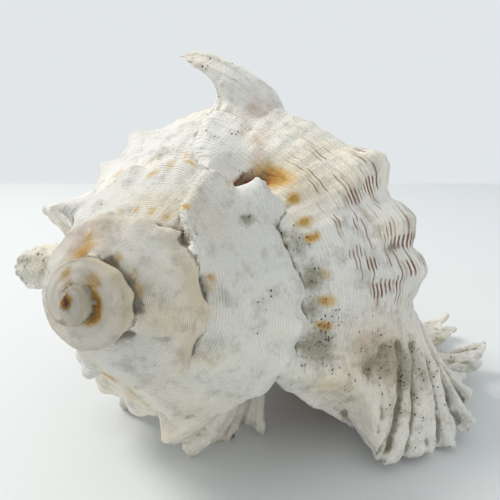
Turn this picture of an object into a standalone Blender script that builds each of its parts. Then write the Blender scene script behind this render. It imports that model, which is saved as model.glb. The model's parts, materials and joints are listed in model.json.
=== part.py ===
"""Ramose murex shell: whorls, varices with fronds, a hollow mouth and a siphonal canal, as one solid.

Everything is laid out in the shell's own frame first. Its axis is Z with the apex at the origin, radii and
heights are in shoulder radii of the last whorl, and growth angles are in degrees, 0 at the lip and
negative towards the apex. The shell is then turned to lie on its mouth side.
"""
import bpy
import math
import numpy as np
from mathutils import Matrix

# Real size and growth
UNIT = 0.052                  # the last whorl's shoulder radius at the lip, in metres
GROWTH = 1.884                # how much larger each turn is than the one before
FIRST_ANGLE = -1560.0         # where the worn apex starts
LAST_ANGLE = 0.0              # the lip

# How the shell lies: apex towards -Y and a little raised, lip and third varix on the ground
AXIS_RISE = 13.54
ROLL = 43.76
APEX_PLACE = (-0.0095, -0.088, 0.0506)

# Outer wall of a whorl, from the suture to the base (radius, height)
WALL = [(0.445, -0.745), (0.495, -0.785), (0.61, -0.880), (0.74, -1.015), (0.855, -1.150), (0.930, -1.265),
        (0.930, -1.39), (0.900, -1.60), (0.850, -1.85), (0.765, -2.10), (0.63, -2.35), (0.47, -2.58), (0.33, -2.78),
        (0.24, -2.95)]
CORE = [(0.10, -2.95), (0.02, -2.60), (0.02, -0.76), (0.25, -0.75)]
WALL_STEPS = 40
SHOULDER_AT = 0.27            # the shoulder's place along the wall, 0 at the suture and 1 at the base

# How much slimmer the early whorls are than even growth would make them, by growth angle
EARLY_GIRTH = [(-1600.0, 0.66), (-1460.0, 0.72), (-1100.0, 0.88), (-800.0, 1.0)]

# Knobs of the axial ribs on the shoulder: growth angle and strength
RIBS = [(-32.0, 0.6), (-50.0, 1.3), (-64.0, 1.4), (-82.0, 1.7), (-166.0, 1.3), (-183.0, 1.3), (-202.0, 0.8),
        (-264.0, 0.9), (-280.0, 0.9), (-298.0, 0.9), (-361.0, 0.9), (-376.0, 1.5), (-391.0, 1.9), (-406.0, 1.1),
        (-481.0, 1.4), (-491.0, 1.4), (-509.0, 1.3), (-580.0, 1.0), (-596.0, 1.0), (-614.0, 1.0), (-686.0, 1.2),
        (-702.0, 1.4), (-720.0, 1.2), (-796.0, 1.2), (-812.0, 1.2), (-830.0, 1.2)]
EARLY_SWELL = 0.09            # how much rounder the ramp of the early whorls is
RIB_HEIGHT = 0.056
RIB_WIDTH = 5.5

# How much slimmer or fuller the shoulder is at each growth angle
GIRTH = [(-330.0, 0.0), (-260.0, 0.0), (-215.0, -0.04), (-185.0, -0.085), (-155.0, -0.075), (-125.0, -0.01),
         (-90.0, -0.01), (-60.0, -0.03), (-30.0, -0.03), (0.0, 0.0)]

# Deep dents in the wall: growth angle, place along the wall, depth, spread in degrees and along the wall
DENTS = [(-99.0, 0.065, 0.10, 7.0, 0.03)]

# Hollow of the mouth, in the same plane as the wall
MOUTH = [(0.60, -0.98), (0.70, -1.13), (0.785, -1.28), (0.835, -1.45), (0.855, -1.64), (0.835, -1.86), (0.755, -2.09),
         (0.62, -2.31), (0.46, -2.50), (0.34, -2.56), (0.27, -2.42), (0.255, -2.15), (0.275, -1.85), (0.34, -1.60),
         (0.45, -1.38), (0.535, -1.16)]
MOUTH_START = -300.0
MOUTH_END = 12.0
MOUTH_SIZE = [(-240.0, 0.80), (-130.0, 0.82), (-70.0, 0.96), (-30.0, 1.0)]   # growth angle, how full the hollow is

# Siphonal canal: centres (x, y, z) and radii, bent away from the ground at its tip
CANAL = [((0.02, 0.0, -1.30), 0.20), ((0.02, 0.0, -1.9), 0.235), ((0.04, 0.0, -2.3), 0.255), ((0.04, 0.02, -2.65), 0.235),
         ((0.01, 0.05, -2.95), 0.195), ((-0.04, 0.10, -3.2), 0.155), ((-0.08, 0.145, -3.36), 0.115)]
SLOT_WIDTH = 0.075

# Fronds of the canal: root (x, y, z), tip (x, y, z) and root radius
CANAL_FRONDS = [((0.10, 0.03, -2.62), (0.50, 0.12, -2.84), 0.085), ((0.06, 0.06, -2.88), (0.40, 0.15, -3.10), 0.075),
                ((-0.02, 0.10, -3.08), (0.26, 0.20, -3.32), 0.06), ((-0.05, 0.05, -2.20), (-0.42, -0.02, -2.42), 0.10),
                ((-0.06, 0.06, -2.50), (-0.40, 0.06, -2.76), 0.085), ((-0.08, 0.10, -2.80), (-0.36, 0.16, -3.08), 0.07)]

FROND_BEND = (0.0, 0.05, 0.03)

# Spines that stand on a rib between varices: root and tip (growth angle, radius, height) and root radius
RIB_SPINES = [((-287.0, 0.78, -1.50), (-281.0, 1.385, -1.90), 0.085)]

# Leaf-like frond of the second varix: growth angles, reach along it, root radius, height, and how it curves
LEAVES = [dict(start=-233.5, end=-217.5,
               reach=[(0.0, 1.22), (0.08, 1.33), (0.35, 1.365), (0.55, 1.35), (0.85, 1.21), (1.0, 1.08)],
               root=0.80, height=-1.33, bow=0.05, droop=-0.02, pleat=0.012, pleats=3.0, thickness=0.055)]

# Solid's fineness
VOXEL = 0.0011
KEEP = 0.088


def scale_at(angle):
    """Size of the shell at a growth angle, 1 at the lip."""
    return GROWTH ** (np.asarray(angle, float) / 360.0)


def place(angle, radius, height):
    """Point of the growing shell: radius and height are in the size that the shell has at that angle."""
    turn = np.radians(angle)
    size = scale_at(angle)
    radius = radius * np.interp(angle, *np.transpose(EARLY_GIRTH))
    return np.stack([size * radius * np.cos(turn), -size * radius * np.sin(turn), size * height + 0.0 * turn], -1)


def smooth_points(points, count, closed=False):
    """Evenly spread points on a smooth curve through the given ones."""
    points = np.array(points, float)
    if closed:
        points = np.vstack([points[-1:], points, points[:2]])
    else:
        points = np.vstack([2 * points[0] - points[1], points, 2 * points[-1] - points[-2]])
    fine = []
    for a, b, c, d in zip(points[:-3], points[1:-2], points[2:-1], points[3:]):
        for t in np.linspace(0.0, 1.0, 24, endpoint=False):
            fine.append(0.5 * (2 * b + (c - a) * t + (2 * a - 5 * b + 4 * c - d) * t * t + (3 * b - a - 3 * c + d) * t ** 3))
    fine.append(points[-2])
    fine = np.array(fine)
    length = np.concatenate([[0.0], np.cumsum(np.linalg.norm(np.diff(fine, axis=0), axis=1))])
    wanted = np.linspace(0.0, length[-1], count, endpoint=not closed)
    return np.stack([np.interp(wanted, length, fine[:, i]) for i in range(fine.shape[1])], -1)


WALL_CURVE = smooth_points(WALL, 201)


def wall_at(along):
    """Radius and height of the wall, and its outward normal, at a place along it from 0 to 1."""
    along = np.clip(np.asarray(along, float), 0.0, 1.0)
    steps = np.linspace(0.0, 1.0, len(WALL_CURVE))
    point = np.stack([np.interp(along, steps, WALL_CURVE[:, i]) for i in (0, 1)], -1)
    ahead = np.stack([np.interp(np.clip(along + 0.01, 0, 1), steps, WALL_CURVE[:, i]) for i in (0, 1)], -1)
    behind = np.stack([np.interp(np.clip(along - 0.01, 0, 1), steps, WALL_CURVE[:, i]) for i in (0, 1)], -1)
    run = ahead - behind
    run /= np.linalg.norm(run, axis=-1, keepdims=True)
    normal = np.stack([-run[..., 1], run[..., 0]], -1)
    return point, normal


def bump(value, centre, width):
    """Smooth hump of height 1."""
    return np.exp(-((np.asarray(value, float) - centre) / width) ** 2)


# The edge of a varix drifts along the wall: place along the wall, degrees ahead of the varix's own angle
EDGE_DRIFT = [(0.0, 17.0), (0.07, 9.0), (0.12, 4.0), (0.20, 0.0), (0.40, 1.0), (0.70, 4.0), (1.0, 6.0)]


def drifted(share, ahead=0.0):
    """The usual drift, scaled, with so many degrees added."""
    return [(along, share * turn + ahead) for along, turn in EDGE_DRIFT]


# Varices: the edge's and the front's drift and the back's reach along the wall, how hollow the back is, how upright
# the blade stands at its foot, how full the front is, the height on the ramp and elsewhere, the channels' depth and
# how late a frond bends back. A frond is its place along the wall, height, aim in degrees, lean back in degrees, and
# how far the edge dips before the next one.
VARICES = [
    dict(angle=-3.0, edge=[(0.0, -3.0), (0.07, -9.0), (0.125, -12.0), (0.185, -11.0), (0.225, 0.0), (1.0, 0.0)],
         front=[(0.0, 2.5), (1.0, 2.5)], back=[(0.0, 32.0), (0.44, 32.0), (0.52, 14.0), (1.0, 12.0)],
         sweep=0.50, bend=0.5, puff=0.3, ramp=0.035, low=0.05, scoop=3.0, hook=1.3,
         fronds=[(0.225, 0.20, -8.0, -2.5, 0.12), (0.25, 0.225, -2.0, 0.5, 0.18), (0.29, 0.285, 14.0, 5.0, 0.14),
                 (0.335, 0.375, 20.0, 8.5, 0.12), (0.38, 0.45, 27.0, 13.0, 0.10), (0.43, 0.43, 26.0, 17.0, 0.08),
                 (0.465, 0.40, 22.0, 18.5, 0.65), (0.53, 0.50, 36.0, 22.5, 0.10), (0.58, 0.60, 12.0, 25.0, 0.65),
                 (0.66, 0.52, 26.0, 25.0, 0.10), (0.70, 0.58, 8.0, 26.0, 0.40), (0.80, 0.42, -5.0, 18.0, 0.30),
                 (0.90, 0.28, -15.0, 10.0, 0.0)]),
    dict(angle=-122.0, edge=[(0.0, 6.0), (0.04, 4.0), (0.07, -2.0), (0.11, -5.0), (0.16, -7.0), (0.22, -4.0),
                             (0.27, 0.0), (0.40, 1.0), (1.0, 5.0)],
         front=[(0.0, 17.0), (0.10, 18.0), (0.125, 16.0), (0.175, 11.0), (0.23, 8.0), (0.32, 12.0), (0.45, 16.0),
                (1.0, 20.0)],
         back=[(0.0, 7.0)], sweep=0.15, bend=0.9, puff=0.85, ramp=0.055, low=0.04, scoop=6.0, hook=2.0,
         fronds=[(0.262, 0.275, 0.0, 15.0, 0.12), (0.32, 0.20, 20.0, 6.0, 0.25), (0.38, 0.12, 25.0, 0.0, 0.25),
                 (0.48, 0.14, 10.0, -3.0, 0.40), (0.64, 0.22, 0.0, 5.0, 0.50), (0.82, 0.22, -14.0, 6.0, 0.0)]),
    dict(angle=-222.0, edge=[(0.0, 26.0), (0.16, 22.0), (0.28, 18.0), (0.36, 6.0), (0.45, 0.0), (1.0, 2.0)],
         front=[(0.0, 38.0), (0.16, 34.0), (0.28, 30.0), (0.36, 20.0), (0.45, 12.0), (1.0, 14.0)],
         back=[(0.0, 12.0)], sweep=0.15, bend=0.0, puff=0.3, ramp=0.03, low=0.04, scoop=6.0, hook=1.0,
         fronds=[(0.285, 0.20, 5.0, 0.0, 0.60), (0.42, 0.22, 5.0, 3.0, 0.50), (0.56, 0.18, -4.0, 6.0, 0.50),
                 (0.74, 0.22, -14.0, 6.0, 0.0)]),
    dict(angle=-319.0, edge=drifted(0.1), front=drifted(0.1, 12.0), back=[(0.0, 24.0)], sweep=0.4, bend=0.0,
         puff=0.3, ramp=0.03, low=0.05, scoop=4.0, hook=1.0,
         fronds=[(0.28, 0.20, -30.0, -10.0, 0.15), (0.34, 0.45, -15.0, -6.5, 0.12),
                 (0.40, 0.45, -17.0, -1.0, 0.06), (0.45, 0.54, -17.0, 2.0, 0.40), (0.57, 0.56, 20.0, 14.0, 0.35),
                 (0.72, 0.30, -5.0, 8.0, 0.30), (0.86, 0.22, -12.0, 4.0, 0.0)]),
    dict(angle=-432.0, edge=[(0.0, 6.0), (0.05, -4.0), (0.09, -12.0), (0.15, -17.0), (0.20, -18.0),
                             (0.31, -18.0), (0.36, -10.0), (0.47, -3.0), (1.0, 0.0)],
         front=[(0.0, 24.0), (0.08, 20.0), (0.163, 11.0), (0.225, 2.0), (0.30, -1.0), (0.45, 6.0), (1.0, 10.0)],
         back=[(0.0, 10.0)], sweep=0.15, bend=0.0, puff=0.3, ramp=0.07, low=0.06, scoop=5.0, hook=1.0,
         fronds=[(0.13, 0.09, 0.0, 0.0, 0.0), (0.225, 0.13, 8.0, 0.0, 0.65), (0.305, 0.17, 0.0, 0.0, 0.15),
                 (0.36, 0.13, 0.0, 0.0, 0.15), (0.46, 0.08, 0.0, 0.0, 0.0)]),
    dict(angle=-538.0, edge=drifted(1.0), front=drifted(1.0, 12.0), back=[(0.0, 12.0)], sweep=0.15, bend=0.0,
         puff=0.3, ramp=0.04, low=0.04, scoop=5.0, hook=1.0, fronds=[(0.26, 0.18, 10.0, 6.0, 0.0)]),
    dict(angle=-645.0, edge=drifted(0.5), front=drifted(0.5, 12.0), back=[(0.0, 16.0)], sweep=0.15, bend=0.0,
         puff=0.3, ramp=0.04, low=0.04, scoop=5.0, hook=1.0, fronds=[(0.27, 0.15, 0.0, 0.0, 0.0)]),
    dict(angle=-740.0, edge=drifted(0.6), front=drifted(0.6, 12.0), back=[(0.0, 12.0)], sweep=0.15, bend=0.0,
         puff=0.3, ramp=0.05, low=0.05, scoop=5.0, hook=1.0, fronds=[(0.25, 0.14, 8.0, 6.0, 0.0)]),
    dict(angle=-850.0, edge=drifted(0.6), front=drifted(0.6, 12.0), back=[(0.0, 12.0)], sweep=0.15, bend=0.0,
         puff=0.3, ramp=0.05, low=0.05, scoop=4.0, hook=1.0, fronds=[(0.26, 0.12, 6.0, 5.0, 0.0)]),
    dict(angle=-958.0, edge=drifted(0.6), front=drifted(0.6, 12.0), back=[(0.0, 12.0)], sweep=0.15, bend=0.0,
         puff=0.3, ramp=0.05, low=0.05, scoop=4.0, hook=1.0, fronds=[(0.26, 0.10, 6.0, 5.0, 0.0)]),
]
VARIX_STEPS = 200
FROND_START = 0.06            # how far along the wall the first frond rises
FROND_END = 0.11              # and the last one falls
THINNEST_RIM = 0.0019         # metres


def wall_lift(angle, along):
    """How far ribs and dents move the wall outwards, in units of its size there."""
    lift = 0.0
    for centre, strength in RIBS:
        lift = lift + RIB_HEIGHT * strength * bump(angle, centre, RIB_WIDTH)
    lift = lift * (bump(along, SHOULDER_AT + 0.03, 0.085) + 0.35 * bump(along, 0.50, 0.16))
    lift = lift + np.interp(angle, *np.transpose(GIRTH)) * bump(along, SHOULDER_AT + 0.08, 0.22)
    lift = lift + EARLY_SWELL * np.interp(angle, [-1000.0, -700.0], [1.0, 0.0]) * bump(along, 0.17, 0.09)
    for centre, place_along, depth, spread, reach in DENTS:
        lift = lift - depth * bump(angle, centre, spread) * bump(along, place_along, reach)
    return lift


def volume(points, faces):
    """Volume inside a closed mesh, negative where its faces look inwards."""
    total = 0.0
    for face in faces:
        start = points[face[0]]
        for a, b in zip(face[1:-1], face[2:]):
            total += np.dot(start, np.cross(points[a], points[b])) / 6.0
    return total


def sweep_mesh(name, sections):
    """Closed solid through a row of closed outlines, each an array of points."""
    rows, around = len(sections), len(sections[0])
    points = np.concatenate(sections)
    faces = []
    for i in range(rows - 1):
        for j in range(around):
            k = (j + 1) % around
            faces.append((i * around + j, i * around + k, (i + 1) * around + k, (i + 1) * around + j))
    faces.append(tuple(range(around))[::-1])
    faces.append(tuple((rows - 1) * around + j for j in range(around)))
    if volume(points, faces) < 0.0:
        faces = [face[::-1] for face in faces]
    mesh = bpy.data.meshes.new(name)
    mesh.from_pydata((points * UNIT).tolist(), [], faces)
    mesh.update()
    return mesh


def whorls():
    """The coiled body, solid right through."""
    along = np.linspace(0.0, 1.0, WALL_STEPS)
    point, normal = wall_at(along)
    core = np.array(CORE)
    sections = []
    for angle in np.arange(FIRST_ANGLE, LAST_ANGLE + 0.1, 4.0):
        outline = point + normal * wall_lift(angle, along)[:, None]
        outline = np.vstack([outline, core])
        sections.append(place(angle, outline[:, 0], outline[:, 1]))
    return sweep_mesh("whorls", sections)


def crest(form, along):
    """Height, aim, lean and frond share, which is 1 on a frond and 0 between two, along a varix's edge."""
    places, talls, aims, leans, dips = np.transpose(form["fronds"])
    step = np.interp(along, places, np.arange(len(places)))
    share = np.cos(math.pi * step) ** 2
    rise = np.clip((along - places[0]) / FROND_START + 1.0, 0.0, 1.0)
    fall = np.clip((places[-1] - along) / FROND_END + 1.0, 0.0, 1.0)
    fade = rise * rise * (3.0 - 2.0 * rise) * fall * fall * (3.0 - 2.0 * fall)
    peak = np.interp(along, places, talls)
    tall = peak * (1.0 - dips[step.astype(int)] * (1.0 - share)) * fade
    on_ramp = np.interp(along, [0.02, 0.10, 0.20, 0.26], [1.0, 0.75, 0.4, 0.0])
    base = form["ramp"] * on_ramp + form["low"] * (1.0 - on_ramp)
    lean = np.interp(along, places, leans) * (tall / peak) ** form["hook"]
    return np.maximum(base, 0.0) + np.maximum(tall - base, 0.0), np.interp(along, places, aims) * fade, lean, share * fade


def varix(form):
    """One varix: a blade that rises from the wall, leans back over the older shell and runs out in fronds."""
    along = np.linspace(0.02, 0.97, VARIX_STEPS)
    wall, normal = wall_at(along)
    height, aim, lean, share = crest(form, along)
    stem = np.interp(along, *np.transpose(form["edge"]))
    rim = stem - lean
    groove = share * np.clip(height / 0.22, 0.0, 1.3)
    aim = np.radians(aim)
    direction = np.stack([normal[:, 0] * np.cos(aim) - normal[:, 1] * np.sin(aim),
                          normal[:, 0] * np.sin(aim) + normal[:, 1] * np.cos(aim)], -1)
    size = scale_at(form["angle"])
    front = np.interp(along, *np.transpose(form["front"]))
    reach = np.interp(along, *np.transpose(form["back"]))
    sections = []
    for i in range(len(along)):
        tall, top = height[i], rim[i]
        edge = math.degrees(THINNEST_RIM / (UNIT * size * max(wall[i, 0] + tall * direction[i, 0], 0.3)))
        back = 0.6 * stem[i] + 0.4 * top - np.interp(tall, [0.05, 0.20], [3.0, reach[i]]) - edge
        scoop = form["scoop"] * groove[i]
        upright = top + form["bend"] * (stem[i] - top)
        outline = []
        for t in np.linspace(0.0, 1.0, 10):
            middle = upright + (0.45 - 0.20 * groove[i]) * (front[i] - upright)
            turn = (1 - t) ** 2 * front[i] + 2 * t * (1 - t) * middle + t * t * top
            lift = (1 - t) ** 2 * -0.05 + 2 * t * (1 - t) * (form["puff"] + 0.25 * groove[i]) * tall + t * t * tall
            outline.append((turn - scoop * t * (1.25 - t), lift))
        for t in np.linspace(0.0, 1.0, 10):
            middle = upright - edge + 0.2 * groove[i] * (front[i] - top) - form["sweep"] * (top - back)
            turn = (1 - t) ** 2 * (top - edge) + 2 * t * (1 - t) * middle + t * t * back
            lift = (1 - t) ** 2 * (tall - 0.008) + 2 * t * (1 - t) * (0.12 + 0.25 * groove[i]) * tall + t * t * -0.05
            outline.append((turn - 0.7 * scoop * (1 - t) * (0.25 + t), lift))
        outline = np.array(outline)
        spot = wall[i] + direction[i] * outline[:, 1:2]
        sections.append(place(form["angle"] + outline[:, 0], spot[:, 0], spot[:, 1]))
    return sweep_mesh("varix", sections)


def leaf(form):
    """Leaf-like frond that stands out from the wall, broad along the growth."""
    sections = []
    for share in np.linspace(0.0, 1.0, 16):
        angle = form["start"] + share * (form["end"] - form["start"])
        reach = np.interp(share, *np.transpose(form["reach"]))
        radius = np.linspace(form["root"], reach, 12)
        out = (radius - form["root"]) / (reach - form["root"])
        height = form["height"] + form["bow"] * (1.0 - (2.0 * share - 1.0) ** 2) + form["droop"] * out ** 2
        height = height + form["pleat"] * np.cos(share * form["pleats"] * 2.0 * math.pi) * out
        half = 0.5 * form["thickness"] * (1.0 - 0.4 * out)
        radius = np.concatenate([radius, radius[::-1]])
        height = np.concatenate([height + half, (height - half)[::-1]])
        sections.append(place(angle, radius, height))
    return sweep_mesh("leaf", sections)


def tube(name, centres, around=20, along=(0.0, 0.0, -1.0)):
    """Closed round solid along a row of centres with radii, each ring square to the given direction."""
    path = smooth_points([list(c) + [r] for c, r in centres], 24)
    turn = np.linspace(0.0, 2 * math.pi, around, endpoint=False)
    forward = np.array(along) / np.linalg.norm(along)
    across = np.cross(forward, (0.0, 1.0, 0.2))
    across /= np.linalg.norm(across)
    other = np.cross(forward, across)
    sections = []
    for spot in path:
        ring = np.cos(turn)[:, None] * across + np.sin(turn)[:, None] * other
        sections.append(spot[:3] + spot[3] * ring)
    return sweep_mesh(name, sections)


def blunt_spine(name, root, tip, radius, bend=(0.0, 0.0, 0.0)):
    """Short blunt spine from root to tip, bowed by the bend in its middle."""
    root, tip, bend = np.array(root), np.array(tip), np.array(bend)
    centres = []
    for t in np.linspace(0.0, 1.0, 5):
        spot = root + (tip - root) * t + bend * math.sin(math.pi * t)
        centres.append((tuple(spot), radius * (1.0 - 0.62 * t)))
    return tube(name, centres, around=12, along=tip - root)


def mouth():
    """The hollow behind the lip, as a solid to take away."""
    outline = smooth_points(MOUTH, 28, closed=True)
    middle = outline.mean(axis=0)
    sections = []
    for angle in np.arange(MOUTH_START, MOUTH_END + 0.1, 12.0):
        open_up = 1.0 + 0.055 * bump(angle, MOUTH_END, 22.0)
        narrow = np.clip((angle - MOUTH_START) / 60.0, 0.05, 1.0) ** 0.5 * np.interp(angle, *np.transpose(MOUTH_SIZE))
        shape = middle + (outline - middle) * open_up * narrow
        sections.append(place(angle, shape[:, 0], shape[:, 1]))
    return sweep_mesh("mouth", sections)


def canal_slot():
    """The narrow groove down the canal's mouth side, as a solid to take away."""
    path = smooth_points([list(c) + [r] for c, r in CANAL[2:]], 16)
    sections = []
    for x, y, z, radius in path:
        half = 0.5 * SLOT_WIDTH
        reach = radius + 0.15
        corners = [(-half, 0.02), (-half, -reach), (half, -reach), (half, 0.02)]
        sections.append(np.array([(x + a, y + b, z) for a, b in corners]))
    last = sections[-1] + np.array([-0.05, 0.05, -0.2])
    return sweep_mesh("canal_slot", sections + [last])


def shell_frame():
    """Matrix that lays the shell down."""
    rise, roll = math.radians(AXIS_RISE), math.radians(ROLL)
    side = np.array([0.0, -math.sin(rise), -math.cos(rise)])
    x_axis = math.cos(roll) * np.array([1.0, 0.0, 0.0]) + math.sin(roll) * side
    y_axis = math.sin(roll) * np.array([1.0, 0.0, 0.0]) - math.cos(roll) * side
    z_axis = np.array([0.0, -math.cos(rise), math.sin(rise)])
    matrix = Matrix.Identity(4)
    for row in range(3):
        for column, axis in enumerate((x_axis, y_axis, z_axis)):
            matrix[row][column] = axis[row]
        matrix[row][3] = APEX_PLACE[row]
    return matrix


def fused(name, meshes):
    """One mesh object from several closed meshes."""
    vertices, faces, start = [], [], 0
    for mesh in meshes:
        vertices += [tuple(v.co) for v in mesh.vertices]
        faces += [tuple(i + start for i in p.vertices) for p in mesh.polygons]
        start += len(mesh.vertices)
    joined = bpy.data.meshes.new(name)
    joined.from_pydata(vertices, [], faces)
    joined.update()
    return joined


def add_object(name, mesh, frame):
    """Object of a mesh, laid down with the shell."""
    mesh.transform(frame)
    thing = bpy.data.objects.new(name, mesh)
    bpy.context.collection.objects.link(thing)
    return thing


def cutter(name, mesh, frame):
    """A guide that only takes material away."""
    thing = add_object(name, mesh, frame)
    thing.hide_render = True
    thing.display_type = "WIRE"
    return thing


def take_away(thing, tool):
    """Boolean difference, kept live."""
    cut = thing.modifiers.new("cut " + tool.name, "BOOLEAN")
    cut.operation = "DIFFERENCE"
    cut.solver = "EXACT"
    cut.object = tool


def shell_material():
    """Worn white shell."""
    material = bpy.data.materials.new("worn shell")
    material.use_nodes = True
    shader = material.node_tree.nodes["Principled BSDF"]
    shader.inputs["Base Color"].default_value = (0.78, 0.74, 0.67, 1.0)
    shader.inputs["Roughness"].default_value = 0.55
    shader.inputs["Metallic"].default_value = 0.0
    return material


def ground_box():
    """Box under the ground, which wears flat rests on the lowest tips."""
    size, depth = 0.4, 0.05
    corners = [(x, y, z) for z in (-depth, 0.0) for x, y in ((-size, -size), (size, -size), (size, size), (-size, size))]
    faces = [(3, 2, 1, 0), (4, 5, 6, 7), (0, 1, 5, 4), (1, 2, 6, 5), (2, 3, 7, 6), (3, 0, 4, 7)]
    mesh = bpy.data.meshes.new("ground")
    mesh.from_pydata(corners, [], faces)
    mesh.update()
    return mesh


def build():
    """The whole shell as one object."""
    for thing in list(bpy.data.objects):
        bpy.data.objects.remove(thing)
    frame = shell_frame()
    pieces = [whorls(), tube("canal", CANAL)] + [varix(form) for form in VARICES]
    pieces += [blunt_spine("canal_frond", *form, bend=FROND_BEND) for form in CANAL_FRONDS]
    pieces += [leaf(form) for form in LEAVES]
    pieces += [blunt_spine("rib_spine", place(*root), place(*tip), radius) for root, tip, radius in RIB_SPINES]
    shell = add_object("shell", fused("shell", pieces), frame)
    shell.data.materials.append(shell_material())
    fuse = shell.modifiers.new("fuse", "REMESH")
    fuse.mode = "VOXEL"
    fuse.voxel_size = VOXEL
    thin = shell.modifiers.new("thin out", "DECIMATE")
    thin.ratio = KEEP
    take_away(shell, cutter("mouth_hollow", mouth(), frame))
    take_away(shell, cutter("canal_groove", canal_slot(), frame))
    take_away(shell, cutter("ground", ground_box(), Matrix.Identity(4)))
    return shell


build()
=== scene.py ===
"""Looks of a ramose murex shell that lies on its mouth side: worn, chalky, stained at the sutures.

The shell is grown in code, from the same growth law as the CAD solid, only much finer and with a few forms
stronger. Its surface carries marks of how it grew: the growth angle, the place along the whorl's wall, the
height over it and the side of a varix. Relief, stains, threads and dirt are all laid out on those marks.
Painted shade darkens its hollows and creases by how concave they are, and painted shadow blackens one deep
hole.
"""

import json
import logging
import math
from dataclasses import dataclass, field
from enum import Enum
from typing import Any, Sequence

import bpy
import numpy as np
from mathutils import Matrix, Vector
from mathutils.bvhtree import BVHTree
from mathutils.interpolate import poly_3d_calc

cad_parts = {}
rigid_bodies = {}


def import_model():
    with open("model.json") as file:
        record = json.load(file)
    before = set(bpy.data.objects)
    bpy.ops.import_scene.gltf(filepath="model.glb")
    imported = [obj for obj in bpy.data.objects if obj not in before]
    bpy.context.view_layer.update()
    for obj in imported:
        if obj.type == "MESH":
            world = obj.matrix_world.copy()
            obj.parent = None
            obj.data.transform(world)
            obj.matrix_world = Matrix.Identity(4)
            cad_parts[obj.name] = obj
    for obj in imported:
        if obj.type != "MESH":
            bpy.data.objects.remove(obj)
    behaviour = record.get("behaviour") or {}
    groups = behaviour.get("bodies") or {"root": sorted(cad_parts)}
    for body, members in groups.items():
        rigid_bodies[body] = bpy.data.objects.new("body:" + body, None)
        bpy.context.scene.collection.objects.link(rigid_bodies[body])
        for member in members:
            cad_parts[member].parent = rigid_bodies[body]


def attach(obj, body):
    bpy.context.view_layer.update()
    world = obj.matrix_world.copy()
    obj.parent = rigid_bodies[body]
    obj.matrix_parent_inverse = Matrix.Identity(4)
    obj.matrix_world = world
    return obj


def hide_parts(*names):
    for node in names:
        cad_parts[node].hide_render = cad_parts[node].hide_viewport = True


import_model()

log = logging.getLogger("shell")

Colour = tuple[float, float, float]
Table = tuple[tuple[float, float], ...]


class Part(Enum):
    """What a point of the surface belongs to."""

    WALL = 0
    VARIX = 1
    CANAL = 2
    SPINE = 3


def deselect_all() -> None:
    """Leave nothing selected and no object active."""
    for thing in bpy.context.view_layer.objects:
        thing.select_set(False)
    bpy.context.view_layer.objects.active = None


def make_active(thing: bpy.types.Object) -> None:
    """Select one object alone and make it active.

    Args:
        thing: The object to work on.
    """
    deselect_all()
    thing.select_set(True)
    bpy.context.view_layer.objects.active = thing


def bump(value: Any, centre: float, width: float) -> np.ndarray:
    """Smooth hump of height 1.

    Args:
        value: Where to read it.
        centre: The hump's middle.
        width: How far it reaches.

    Returns:
        The hump's height at each value.
    """
    return np.exp(-(((np.asarray(value, float) - centre) / width) ** 2))


def ramp(value: Any, low: float, high: float) -> np.ndarray:
    """Smooth step from 0 at low to 1 at high, or down where low is the larger.

    Args:
        value: Where to read it.
        low: Where the step starts.
        high: Where it ends.

    Returns:
        The step at each value.
    """
    t = np.clip((np.asarray(value, float) - low) / (high - low), 0.0, 1.0)
    return t * t * (3.0 - 2.0 * t)


def read(table: Table, place: Any) -> np.ndarray:
    """Value of a table of places and values, in straight steps between them.

    Args:
        table: Places and values.
        place: Where to read it.

    Returns:
        The value at each place.
    """
    return np.interp(place, *np.transpose(table))


def smooth_points(points: Any, count: int, closed: bool = False) -> np.ndarray:
    """Evenly spread points on a smooth curve through the given ones.

    Args:
        points: The points that the curve goes through.
        count: How many points to give back.
        closed: Whether the curve returns to its start.

    Returns:
        The points, one in each row.
    """
    points = np.array(points, float)
    if closed:
        points = np.vstack([points[-1:], points, points[:2]])
    else:
        points = np.vstack([2 * points[0] - points[1], points, 2 * points[-1] - points[-2]])
    fine = []
    for a, b, c, d in zip(points[:-3], points[1:-2], points[2:-1], points[3:]):
        for t in np.linspace(0.0, 1.0, 24, endpoint=False):
            cubic = 3 * b - a - 3 * c + d
            fine.append(0.5 * (2 * b + (c - a) * t + (2 * a - 5 * b + 4 * c - d) * t * t + cubic * t**3))
    fine.append(points[-2])
    fine = np.array(fine)
    length = np.concatenate([[0.0], np.cumsum(np.linalg.norm(np.diff(fine, axis=0), axis=1))])
    wanted = np.linspace(0.0, length[-1], count, endpoint=not closed)
    return np.stack([np.interp(wanted, length, fine[:, i]) for i in range(fine.shape[1])], -1)


class Ripple:
    """Seeded smooth noise from a few waves."""

    def __init__(self, seed: int, waves: int = 14) -> None:
        """Choose the waves.

        Args:
            seed: What the waves are drawn from.
            waves: How many there are.
        """
        rng = np.random.default_rng(seed)
        self.directions = rng.normal(size=(waves, 3))
        self.phases = rng.uniform(0.0, 2 * math.pi, waves)
        self.strengths = 1.0 / np.sqrt(waves) * rng.uniform(0.6, 1.4, waves)

    def at(self, places: np.ndarray) -> np.ndarray:
        """Noise of about 1 in strength at each place, one in each row."""
        return np.sin(places @ self.directions.T + self.phases) @ self.strengths


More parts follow.
